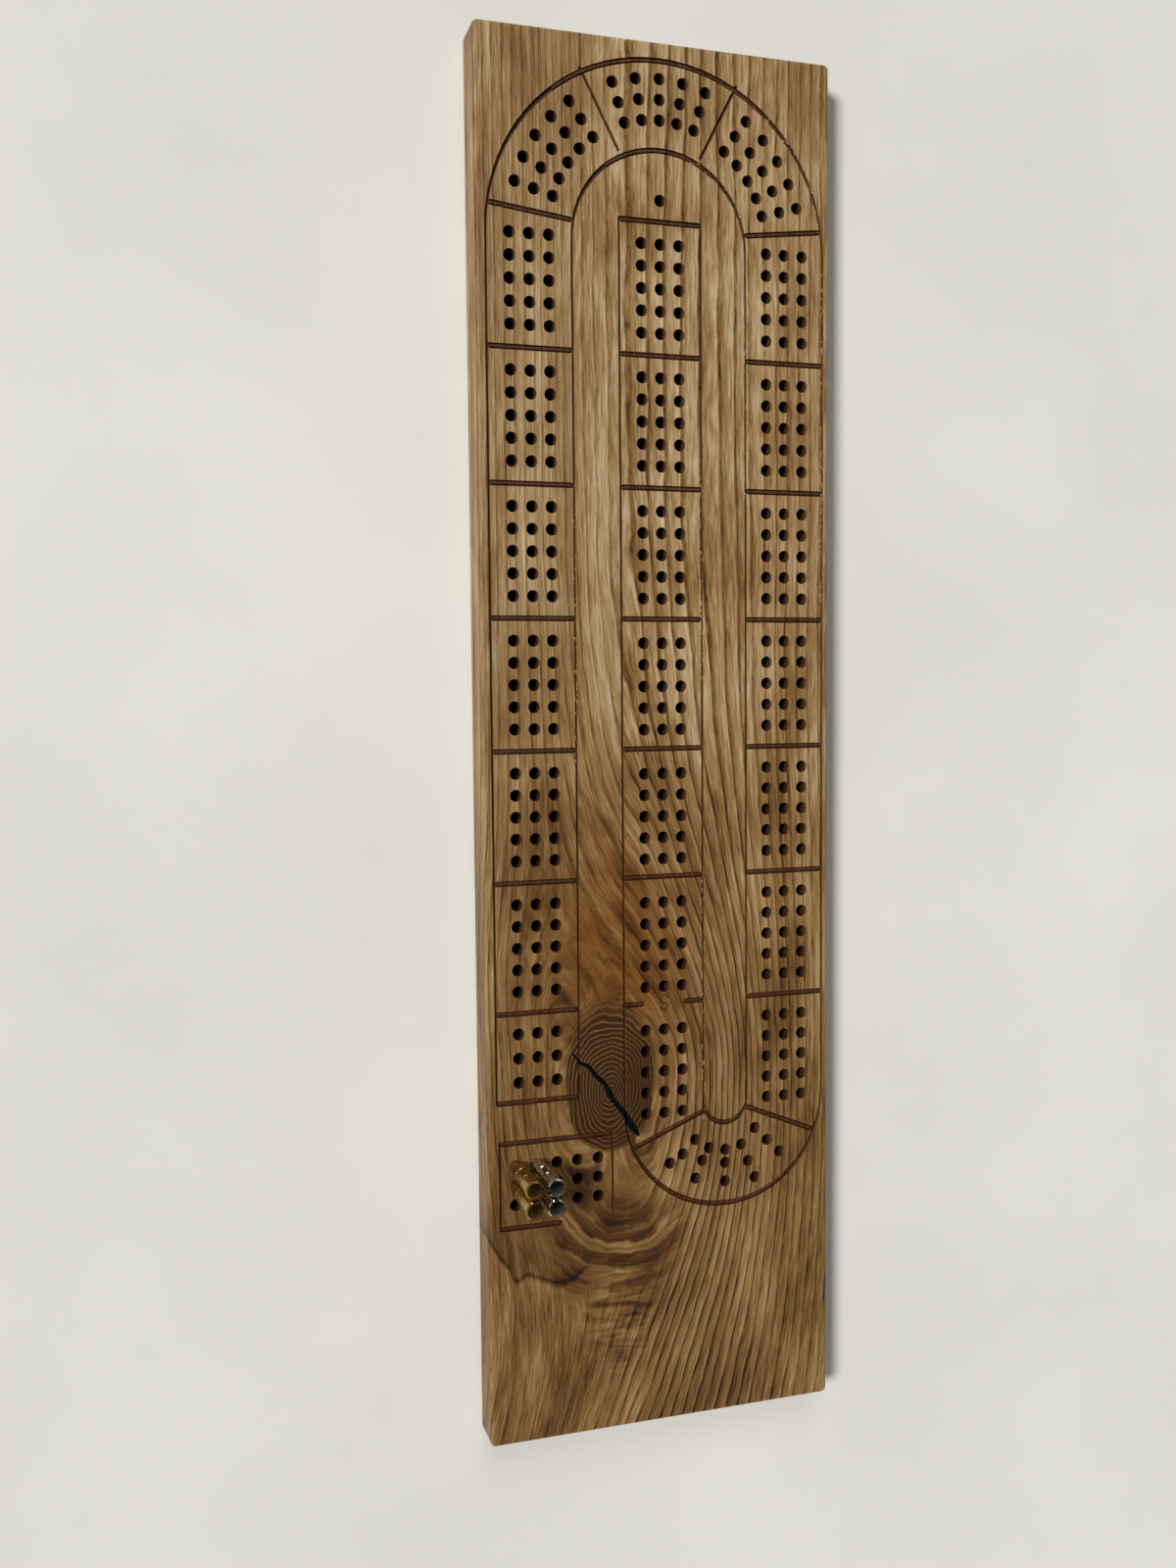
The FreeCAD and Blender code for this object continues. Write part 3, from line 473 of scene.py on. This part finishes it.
# %% Short waves of painted sheen
WAVES_MIDDLE, WAVES_HALF = (-13.0, -157.0, 0.0), (11.0, 17.0, THROUGH)    # mm
WAVES_PER_MM = (0.09, 0.42, 0.09)
wave_place = put(tree, "ShaderNodeMapping", place, WAVES_MIDDLE, None, WAVES_HALF,
                 vector_type="TEXTURE")
wave_reach = put(tree, VECTOR_MATH, wave_place, operation="LENGTH", out="Value")
wave_reach = put(tree, MATH, ripple, 0.6, wave_reach, operation="MULTIPLY_ADD")
wave_part = put(tree, MAP_RANGE, wave_reach, 1.45, 0.85)
wave_place = put(tree, VECTOR_MATH, place, WAVES_PER_MM, operation="MULTIPLY")
wave_painted_sheen = put(tree, NOISE, wave_place, named={"Scale": 1.0, "Detail": 3.0, "Distortion": 0.6})
wave_painted_sheen = put(tree, MAP_RANGE, wave_painted_sheen, 0.3, 0.7, -0.3, 0.16)
# Painted light and shade: the waves' shine is added to the colour tone.
tone = put(tree, MATH, wave_painted_sheen, wave_part, tone, operation="MULTIPLY_ADD")
print("all of the tone:", len(tree.nodes), "nodes")

# %% [markdown]
# ### From tone to finish
#
# All of that is one tone from dark to light, and a colour ramp turns it into oiled ash. The amber
# wood round the knot has a ramp of its own, and the knot's rings a third.

# %% Ash colours
wood = put(tree, "ShaderNodeValToRGB", tone, stops=(
    (0.0, "221004"), (1.0, "D6C5A4"), (0.2, "523312"), (0.42, "7C5B31"), (0.6, "9A7B50"),
    (0.78, "B89E79")))
amber = put(tree, "ShaderNodeValToRGB", tone, stops=(
    (0.0, "1F0E02"), (1.0, "A0702F"), (0.3, "4E2C07"), (0.6, "744716")))
knot_brown = put(tree, "ShaderNodeValToRGB", knot_ring, stops=(
    (0.0, "321C06"), (1.0, "7B5826"), (0.4, "462A0C")))
halo_mix = put(tree, MATH, halo, 0.9, operation="MULTIPLY")
skin = put(tree, MIX, data_type="RGBA", named={0: halo_mix, 6: wood, 7: amber}, out=2)
skin = put(tree, MIX, data_type="RGBA", named={0: knot, 6: skin, 7: knot_brown}, out=2)
print("three ramps: wood, amber and knot")

# %% [markdown]
# The cutter and the drill bare much end grain, which drinks more oil and goes dark red-brown.
# Bared wood is found by its place alone: below the face, above the underside and away from
# the four edges. It is painted darker the deeper it lies and lighter near the face, which is
# painted shade in the recesses, and walls that face sideways show side grain, which takes less
# oil. What stands above the face can only be a torn fibre, and that is dry and pale.

# %% Bared wood, with painted shade in its recesses
UNDERSIDE, SIDE_EDGE, END_EDGE = 0.3, 49.6, 189.3    # mm, where the rounded outside begins
inside = put(tree, MAP_RANGE, Z, FACE - 0.02, FACE - 0.12)
floor_side = put(tree, MATH, Z, UNDERSIDE, operation="GREATER_THAN")
x_side = put(tree, MATH, X, operation="ABSOLUTE")
x_side = put(tree, MATH, x_side, SIDE_EDGE, operation="LESS_THAN")
y_side = put(tree, MATH, Y, operation="ABSOLUTE")
y_side = put(tree, MATH, y_side, END_EDGE, operation="LESS_THAN")
cut = put(tree, MATH, inside, floor_side, operation="MULTIPLY")
cut = put(tree, MATH, cut, x_side, operation="MULTIPLY")
cut = put(tree, MATH, cut, y_side, operation="MULTIPLY")
# The deeper colours are painted shade: bared wood is coloured darker the further below the face it lies.
cut_deep_shaded = put(tree, "ShaderNodeValToRGB", fibre, stops=((0.3, "200B03"), (0.7, "4A230C")))
cut_light = put(tree, "ShaderNodeValToRGB", fibre, stops=((0.3, "45220D"), (0.7, "7A4C24")))
side_deep_shaded = put(tree, "ShaderNodeValToRGB", fibre, stops=((0.3, "2A1508"), (0.7, "4C2E16")))
high_side = put(tree, "ShaderNodeValToRGB", fibre, stops=((0.3, "5A3419"), (0.7, "936539")))
# Painted shade on sideways walls: darker from 0.8 to 1.7 mm below the face.
side_depth_shade = put(tree, MAP_RANGE, Z, FACE - 1.7, FACE - 0.8)
cut_side = put(tree, MIX, data_type="RGBA", out=2, named={0: side_depth_shade, 6: side_deep_shaded, 7: high_side})
# Painted shade on end grain: lighter only in the top 0.3 mm below the face.
cut_depth_shade = put(tree, MAP_RANGE, Z, FACE - 0.32, FACE - 0.15)
cut_colour = put(tree, MIX, data_type="RGBA", out=2, named={0: cut_depth_shade, 6: cut_deep_shaded, 7: cut_light})
facing = put(tree, "ShaderNodeTexCoord", out="Normal")
facing = put(tree, "ShaderNodeSeparateXYZ", facing, out="X")
facing = put(tree, MATH, facing, operation="ABSOLUTE")
side_grain = put(tree, MAP_RANGE, facing, 0.6, 1.0)
cut_colour = put(tree, MIX, data_type="RGBA", out=2, named={0: side_grain, 6: cut_colour, 7: cut_side})
cut_mix = put(tree, MATH, cut, 0.92, operation="MULTIPLY")
skin = put(tree, MIX, data_type="RGBA", named={0: cut_mix, 6: skin, 7: cut_colour}, out=2)
torn = put(tree, MAP_RANGE, Z, FACE + 0.02, FACE + 0.08, 0.0, 0.8)
skin = put(tree, MIX, data_type="RGBA", named={0: torn, 6: skin, 7: colour("CBAE84")}, out=2)
print("bared wood starts 0.02 mm below the face")

# %% [markdown]
# Rubbed-in oil leaves a satin surface, a little rougher in the open pores, with a weaker shine
# than varnish would have. The pores are real pits, and planing leaves the hard late wood proud,
# so the same numbers feed the bump.

# %% Ash surface
relief = put(tree, MATH, ring, 0.5, operation="MULTIPLY")
relief = put(tree, MATH, fibre, 0.6, relief, operation="MULTIPLY_ADD")
relief = put(tree, MATH, pore, -0.8, relief, operation="MULTIPLY_ADD")
knot_relief = put(tree, MATH, knot_ring, 0.8, operation="MULTIPLY")
relief = put(tree, MIX, named={0: knot, 2: relief, 3: knot_relief})
bump = put(tree, "ShaderNodeBump", named={"Strength": 0.7, "Distance": 0.12 * MM, "Height": relief})
rough = put(tree, MAP_RANGE, pore, 0.0, 1.0, 0.5, 0.65)
ash_shader = put(tree, "ShaderNodeBsdfPrincipled", named={
    "Base Color": skin, "Roughness": rough, "Normal": bump, "IOR": 1.5, "Specular IOR Level": 0.3})
put(tree, "ShaderNodeOutputMaterial", ash_shader)
nodes["board"].data.materials.clear()
nodes["board"].data.materials.append(ash)
print("oiled ash:", len(tree.nodes), "nodes")

# %% [markdown]
# ## The ridge between two passes
#
# The cutter went round the board twice, the second time a little further down. Where a line runs
# across the board the two passes lie side by side, and a low ridge of wood stands between them.
# The ridge follows the middle of each such line, so it is a small trapezium swept along a path
# by Geometry Nodes, with a little noise because it is torn wood and not a moulding.

# %% Where the wide lines run
ROW = 5.93                             # mm, from hole to hole along a lane
GROUP = 6 * ROW                        # five holes and the empty row between groups
ARCH_X, ARCH_Y = 0.4, 138.7            # mm, the centre of the arch
FIRST_ROW_Y = ARCH_Y - 1.4             # mm, the first straight row below the arch
TRACK_RADIUS = 36.7                    # mm, from the arch's centre to the outer tracks' middles
LEFT_X, RIGHT_X = ARCH_X - TRACK_RADIUS, ARCH_X + TRACK_RADIUS
TRACK_HALF = 11.75                     # mm, from a track's centre to its outlines
TURN_X, TURN_Y, TURN_RADIUS = 18.75, -99.5, 18.35
ARCH_LOW = 1.6                         # mm, the arch's lines were cut this much low
ARCH_LINES, TURN_LINES = (24.95, 48.45), (30.1, 6.6)    # mm, their radii
ARCH_WIDE, TURN_WIDE = (52, 128), (232, 308)    # degrees between which they are wide
ARCH_FEET, TURN_CUTS = (6.93, 173.07), (202.5, 337.5)    # degrees, where lines cross the curves
START_Y, SKUNK_Y = -94.67, -70.25      # mm, the lines below the start rows and at the skunk mark
SKUNK_PARTS = ((-11.35, -5.45), (6.25, 12.15))    # mm, each from x to x
GAMES_TOP, GAMES_FOOT = (-105.9, -47.35, -15.13), (-129.52, -47.35, -29.75)    # y, from x to x
GROOVE_FLOOR = FACE - 0.8
RIDGE_INSET = 0.7                      # mm, the ridge stops this far from a line's ends


def across_line(y, left, right):
    return [(left + RIDGE_INSET, y), (right - RIDGE_INSET, y)]


def across_track(x, y):
    return across_line(y, x - TRACK_HALF, x + TRACK_HALF)


def radial_line(x, y, radius, angle):
    """A line across a curved track, at an angle in degrees round the curve's centre."""
    a = math.radians(angle)
    reaches = (radius - TRACK_HALF + RIDGE_INSET, radius + TRACK_HALF - RIDGE_INSET)
    return [(x + reach * math.cos(a), y + reach * math.sin(a)) for reach in reaches]


def arc_line(x, y, radius, start, end, steps=24):
    angles = [math.radians(start + (end - start) * step / steps) for step in range(steps + 1)]
    return [(x + radius * math.cos(a), y + radius * math.sin(a)) for a in angles]


wide_lines = [across_track(x, FIRST_ROW_Y - 5 * ROW - k * GROUP) for x in (LEFT_X, RIGHT_X) for k in range(6)]
wide_lines += [across_track(ARCH_X, FIRST_ROW_Y + ROW - k * GROUP) for k in range(6)]
wide_lines += [across_track(LEFT_X, START_Y)]
wide_lines += [across_line(SKUNK_Y, left, right) for left, right in SKUNK_PARTS]
wide_lines += [across_line(*GAMES_TOP), across_line(*GAMES_FOOT)]
wide_lines += [radial_line(ARCH_X, ARCH_Y, TRACK_RADIUS, angle) for angle in ARCH_FEET]
wide_lines += [radial_line(TURN_X, TURN_Y, TURN_RADIUS, angle) for angle in TURN_CUTS]
wide_lines += [arc_line(ARCH_X, ARCH_Y - ARCH_LOW, radius, *ARCH_WIDE) for radius in ARCH_LINES]
wide_lines += [arc_line(TURN_X, TURN_Y, radius, *TURN_WIDE) for radius in TURN_LINES]
print(len(wide_lines), "wide lines")

# %% [markdown]
# Three helpers serve both pieces that follow. One makes a mesh of bare edges for a tree to work
# on. One starts a tree with a named input for each size. The last runs a tree on a path and keeps
# the result as a plain mesh, which moves with the plank.

# %% Helpers for shapes along a path
def path_mesh(name, lines, height):
    """A mesh of edges only, in metres, through lines given in millimetres."""
    points, edges = [], []
    for line in lines:
        first = len(points)
        points += [(x * MM, y * MM, height * MM) for x, y in line]
        edges += [(index, index + 1) for index in range(first, len(points) - 1)]
    mesh = bpy.data.meshes.new(name)
    mesh.from_pydata(points, edges, [])
    return mesh


def make_piece(name, path, tree, sizes):
    """Run a node tree on a path, give its inputs their sizes, and keep the plain mesh."""
    maker = bpy.data.objects.new(f"{name}_path", path)
    scene.collection.objects.link(maker)
    modifier = maker.modifiers.new("shape", "NODES")
    modifier.node_group = tree
    for item in tree.interface.items_tree:
        if item.item_type == "SOCKET" and item.in_out == "INPUT" and item.name in sizes:
            modifier[item.identifier] = sizes[item.name]
    shown = maker.evaluated_get(bpy.context.evaluated_depsgraph_get())
    mesh = bpy.data.meshes.new_from_object(shown)
    bpy.data.objects.remove(maker)
    piece = bpy.data.objects.new(name, mesh)
    scene.collection.objects.link(piece)
    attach(piece, "plank")
    print(f"{name}: {len(mesh.polygons)} faces")
    return piece


def new_shape_tree(name, *sizes):
    """A geometry node tree with one named length input for each size."""
    tree = bpy.data.node_groups.new(name, "GeometryNodeTree")
    tree.interface.new_socket("Path", in_out="INPUT", socket_type="NodeSocketGeometry")
    for size in sizes:
        tree.interface.new_socket(size, in_out="INPUT", socket_type="NodeSocketFloat")
    tree.interface.new_socket("Shape", in_out="OUTPUT", socket_type="NodeSocketGeometry")
    return tree, put(tree, "NodeGroupInput").node.outputs


print("helpers: path_mesh, make_piece, new_shape_tree")

# %% [markdown]
# The ridge could be drawn as a flat dark and light stripe, but a lamp that rakes over the board
# shows at once whether wood stands there. So the path is shaken a little, both ways sideways and
# mostly downwards, and swept with a narrow trapezium, wide at the foot and nearly sharp on top.

# %% The ridges
tree, given = new_shape_tree("ridge", "Foot Width", "Top Width", "Height", "Wobble")
path = put(tree, "GeometryNodeMeshToCurve", given["Path"])
path = put(tree, "GeometryNodeResampleCurve", path, mode="LENGTH", named={"Length": 0.5 * MM})
spot = put(tree, "GeometryNodeInputPosition")
shake = put(tree, NOISE, spot, named={"Scale": 900.0, "Detail": 2.0}, out="Color")
shake = put(tree, VECTOR_MATH, shake, (0.5, 0.5, 0.9), operation="SUBTRACT")
shake = put(tree, VECTOR_MATH, shake, named={"Scale": given["Wobble"]}, operation="SCALE")
path = put(tree, "GeometryNodeSetPosition", path, named={"Offset": shake})
path = put(tree, "GeometryNodeSetCurveNormal", path, mode="Z_UP")
profile = put(tree, "GeometryNodeCurvePrimitiveQuadrilateral", mode="TRAPEZOID", named={
    "Bottom Width": given["Foot Width"], "Top Width": given["Top Width"],
    "Height": given["Height"], "Offset": 0.0})
shape = put(tree, "GeometryNodeCurveToMesh", path, profile, named={"Fill Caps": True})
shape = put(tree, "GeometryNodeRealizeInstances", shape)
shape = put(tree, "GeometryNodeSetMaterial", shape, named={"Material": ash})
put(tree, "NodeGroupOutput", shape)
RIDGE_HEIGHT = 0.75                    # mm, some 0.2 mm of it sunk in the floor of the line
make_piece("pass_ridges", path_mesh("ridge_paths", wide_lines, GROOVE_FLOOR + 0.2), tree, {
    "Foot Width": 0.7 * MM, "Top Width": 0.2 * MM, "Height": RIDGE_HEIGHT * MM, "Wobble": 0.12 * MM})

# %% [markdown]
# ## Torn fibres
#
# Where a line runs nearly along the grain, or comes out of a curve, the cutter lifts splinters
# from its edge. They are short thin cones, strewn along the edges of the worst lines by a second
# node tree: it drops points on the path, keeps about a quarter of them, and lays a splinter on
# each, turned a little out of the line. The seeds are fixed, so the same splinters come back every
# time.

# %% Splinters
EDGE = 0.3                             # mm, from the middle of a thin line to its edge
TORN_LINES = ((12.15, -33.0, -104.0), (-24.55, 67.0, -4.0), (48.85, 133.0, 40.0),
              (25.35, 118.0, 70.0), (12.15, 88.0, 20.0))    # x, then from y to y
TORN_ARCS = ((47.9, 14, 56), (48.7, 14, 56), (24.4, 20, 70), (25.2, 20, 70))    # radius, degrees
torn_paths = [[(x, start), (x, end)] for middle, start, end in TORN_LINES
              for x in (middle - EDGE, middle + EDGE)]
torn_paths += [arc_line(ARCH_X, ARCH_Y - ARCH_LOW, radius, start, end)
               for radius, start, end in TORN_ARCS]

tree, given = new_shape_tree("splinters", "Spacing", "Length", "Radius")
path = put(tree, "GeometryNodeMeshToCurve", given["Path"])
path = put(tree, "GeometryNodeResampleCurve", path, mode="LENGTH", named={"Length": given["Spacing"]})
dots = put(tree, "GeometryNodeCurveToPoints", path, mode="EVALUATED").node.outputs
cone = put(tree, "GeometryNodeMeshCone", named={
    "Vertices": 4, "Radius Top": 0.0, "Radius Bottom": given["Radius"], "Depth": given["Length"]})
kept = put(tree, "FunctionNodeRandomValue", data_type="BOOLEAN", out=3, named={
    "Probability": 0.24, "Seed": 3})
tilt = put(tree, "FunctionNodeRandomValue", (-0.3, -0.3, 0.0), (0.3, 0.3, 6.3),
           data_type="FLOAT_VECTOR", named={"Seed": 5})
tilt = put(tree, "FunctionNodeEulerToRotation", tilt)
turned = put(tree, "FunctionNodeRotateRotation", dots["Rotation"], tilt, rotation_space="LOCAL")
grown = put(tree, "FunctionNodeRandomValue", (0.5, 0.5, 0.4), (1.2, 1.2, 1.5),
            data_type="FLOAT_VECTOR", named={"Seed": 8})
shape = put(tree, "GeometryNodeInstanceOnPoints", dots["Points"], kept, cone, named={
    "Rotation": turned, "Scale": grown})
shape = put(tree, "GeometryNodeRealizeInstances", shape)
shape = put(tree, "GeometryNodeSetMaterial", shape, named={"Material": ash})
put(tree, "NodeGroupOutput", shape)
make_piece("splinters", path_mesh("torn_paths", torn_paths, FACE + 0.04), tree, {
    "Spacing": 0.8 * MM, "Length": 1.2 * MM, "Radius": 0.16 * MM})
print(len(torn_paths), "torn edges")

# %% [markdown]
# ## Resin in the crack
#
# The crack in the knot was flooded with black epoxy and sanded flush. Cast epoxy is glossy, and
# tiny bubbles that the sanding opened catch the light; that glint is painted into the colour as
# grey-green specks. Real ones are a tenth of a millimetre wide; they are drawn 0.6 mm wide, so
# that a few of them show.

# %% Black resin
resin, tree = new_material("black_epoxy")
place = put(tree, "ShaderNodeTexCoord", out="Object")
place = put(tree, VECTOR_MATH, place, named={"Scale": 1 / MM}, operation="SCALE")
pit_and_glint_speck = put(tree, NOISE, place, named={"Scale": 1.6, "Detail": 3.0})
# Painted glints: the lighter grey-green specks stand in for light caught by opened bubbles.
painted_glint_colour = put(tree, "ShaderNodeValToRGB", pit_and_glint_speck, stops=(
    (0.5, "070A08"), (0.78, "2E3A34"), (0.64, "0E1411")))
bump = put(tree, "ShaderNodeBump", named={"Strength": 0.6, "Distance": 0.1 * MM, "Height": pit_and_glint_speck})
resin_shader = put(tree, "ShaderNodeBsdfPrincipled", named={
    "Base Color": painted_glint_colour, "Roughness": 0.16, "Normal": bump, "IOR": 1.55})
put(tree, "ShaderNodeOutputMaterial", resin_shader)
nodes["crack_fill"].data.materials.clear()
nodes["crack_fill"].data.materials.append(resin)
print("black epoxy:", len(tree.nodes), "nodes")

# %% [markdown]
# ## The metal pegs
#
# The pegs were turned on a lathe from brass and from plated rod, so they are near mirrors with
# faint rings left by the tool: across the ends the rings are circles about the peg's axis, and
# along the sides they stack up its length. Each peg stands in its own place, so each has its own
# material, whose pattern is centred on its axis. Handled brass goes olive where it tarnishes.
# The ends are slightly domed, which bends what they mirror. Tool marks on a real peg are about
# 0.1 mm apart, and here 0.2 mm, so that they show.

# %% Turned metal
TOOL_MARKS_PER_MM = 5.0
PEG_METALS = {
    "brass": {"bright": "BD994E", "dull": "80622B", "rough": 0.2},
    "silver": {"bright": "D0D1CC", "dull": "9FA19C", "rough": 0.09},
}


def turned_metal(name, metal, axis):
    material, tree = new_material(name)
    place = put(tree, "ShaderNodeTexCoord", out="Object")
    centred = put(tree, "ShaderNodeMapping", place, (axis.x, axis.y, 0.0), None,
                  (MM, MM, MM), vector_type="TEXTURE")
    along = put(tree, "ShaderNodeSeparateXYZ", centred, out="Z")
    flat = put(tree, VECTOR_MATH, centred, (1.0, 1.0, 0.0), operation="MULTIPLY")
    out_from_axis = put(tree, VECTOR_MATH, flat, operation="LENGTH", out="Value")
    tool_place = put(tree, "ShaderNodeCombineXYZ", out_from_axis, 0.0, along)
    tool_marks = put(tree, NOISE, tool_place, named={"Scale": TOOL_MARKS_PER_MM, "Detail": 2.0})
    dome = put(tree, MATH, out_from_axis, out_from_axis, operation="MULTIPLY")
    relief = put(tree, MATH, dome, -0.055, operation="MULTIPLY")
    relief = put(tree, MATH, tool_marks, 0.005, relief, operation="MULTIPLY_ADD")
    tarnish = put(tree, NOISE, centred, named={"Scale": 0.45, "Detail": 3.0})
    tarnish = put(tree, MAP_RANGE, tarnish, 0.4, 0.65)
    tint = put(tree, MIX, data_type="RGBA", out=2, named={
        0: tarnish, 6: colour(metal["bright"]), 7: colour(metal["dull"])})
    rough = put(tree, MAP_RANGE, tarnish, 0.0, 1.0, metal["rough"], metal["rough"] + 0.08)
    bump = put(tree, "ShaderNodeBump", named={
        "Strength": 1.0, "Distance": MM, "Height": relief})
    shader = put(tree, "ShaderNodeBsdfPrincipled", named={
        "Base Color": tint, "Metallic": 1.0, "Roughness": rough, "Normal": bump})
    put(tree, "ShaderNodeOutputMaterial", shader)
    return material


for name in sorted(nodes):
    if name.startswith("peg_"):
        low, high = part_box(name)
        metal = PEG_METALS[name.split("_")[1]]
        nodes[name].data.materials.clear()
        nodes[name].data.materials.append(turned_metal(f"turned_{name}", metal, (low + high) / 2))
        print(name, "stands at", [round(v / MM, 1) for v in (low + high) / 2])

# %% [markdown]
# ## The table and the light
#
# The board lies on a plain pale table, a sheet so wide that from low down its far edge looks like
# a horizon. It is painted matt, so that the board's shadow is all that lies on it.

# %% Table
table_mesh = bpy.data.meshes.new("table")
TABLE_HALF = 6.0                       # m
corners = [(x * TABLE_HALF, y * TABLE_HALF, 0.0) for x, y in ((-1, -1), (1, -1), (1, 1), (-1, 1))]
table_mesh.from_pydata(corners, [], [(0, 1, 2, 3)])
table = bpy.data.objects.new("table", table_mesh)
scene.collection.objects.link(table)
paint, tree = new_material("matt_table_paint")
place = put(tree, "ShaderNodeTexCoord", out="Object")
brush = put(tree, NOISE, place, named={"Scale": 9.0, "Detail": 4.0})
paint_colour = put(tree, "ShaderNodeValToRGB", brush, stops=((0.3, "DDDCD4"), (0.7, "E6E5DE")))
paint_shader = put(tree, "ShaderNodeBsdfPrincipled", named={
    "Base Color": paint_colour, "Roughness": 0.7})
put(tree, "ShaderNodeOutputMaterial", paint_shader)
table.data.materials.append(paint)
print("table:", 2 * TABLE_HALF, "m wide")

# %% [markdown]
# The key lamp stands up and to the left, throws the pegs' shadows to the right and lights the
# right wall of every hole and line. A weaker one from the arched end fills the shadows a little.
# Both are sun lamps: they don't fall off, so the table is equally bright in every view. Each is
# spread over many degrees, which softens its shadows. The room is pale at the horizon and darker
# overhead, and lighter towards the foot of the board than towards its arch, so the pegs' domed
# ends mirror something light along one side and something dark along the other.

# %% Light
def soft_sun(name, source, spread, strength):
    """A lamp too far away to fall off, as wide as an angle in degrees, that shines from a side."""
    data = bpy.data.lights.new(name, "SUN")
    data.angle, data.energy = math.radians(spread), strength
    lamp = bpy.data.objects.new(name, data)
    lamp.rotation_mode = "QUATERNION"
    lamp.rotation_quaternion = Vector(source).to_track_quat("Z", "Y")
    scene.collection.objects.link(lamp)


soft_sun("key", (-0.66, 0.2, 0.8), 14, 2.95)
soft_sun("top", (-0.1, 0.9, 0.72), 30, 0.7)

# %% The room
world = bpy.data.worlds.new("room")
scene.world = world
world.use_nodes = True
tree = world.node_tree
tree.nodes.clear()
direction = put(tree, "ShaderNodeTexCoord", out="Generated")
upward = put(tree, "ShaderNodeSeparateXYZ", direction, out="Z")
northward = put(tree, "ShaderNodeSeparateXYZ", direction, out="Y")
slope = put(tree, MATH, northward, 0.4, upward, operation="MULTIPLY_ADD")
sky = put(tree, "ShaderNodeValToRGB", slope, stops=((0.1, "C4C1BB"), (0.88, "131211"), (0.5, "4C4945")))
background = put(tree, "ShaderNodeBackground", sky, 1.0)
put(tree, "ShaderNodeOutputWorld", background)
print("room:", len(tree.nodes), "nodes")
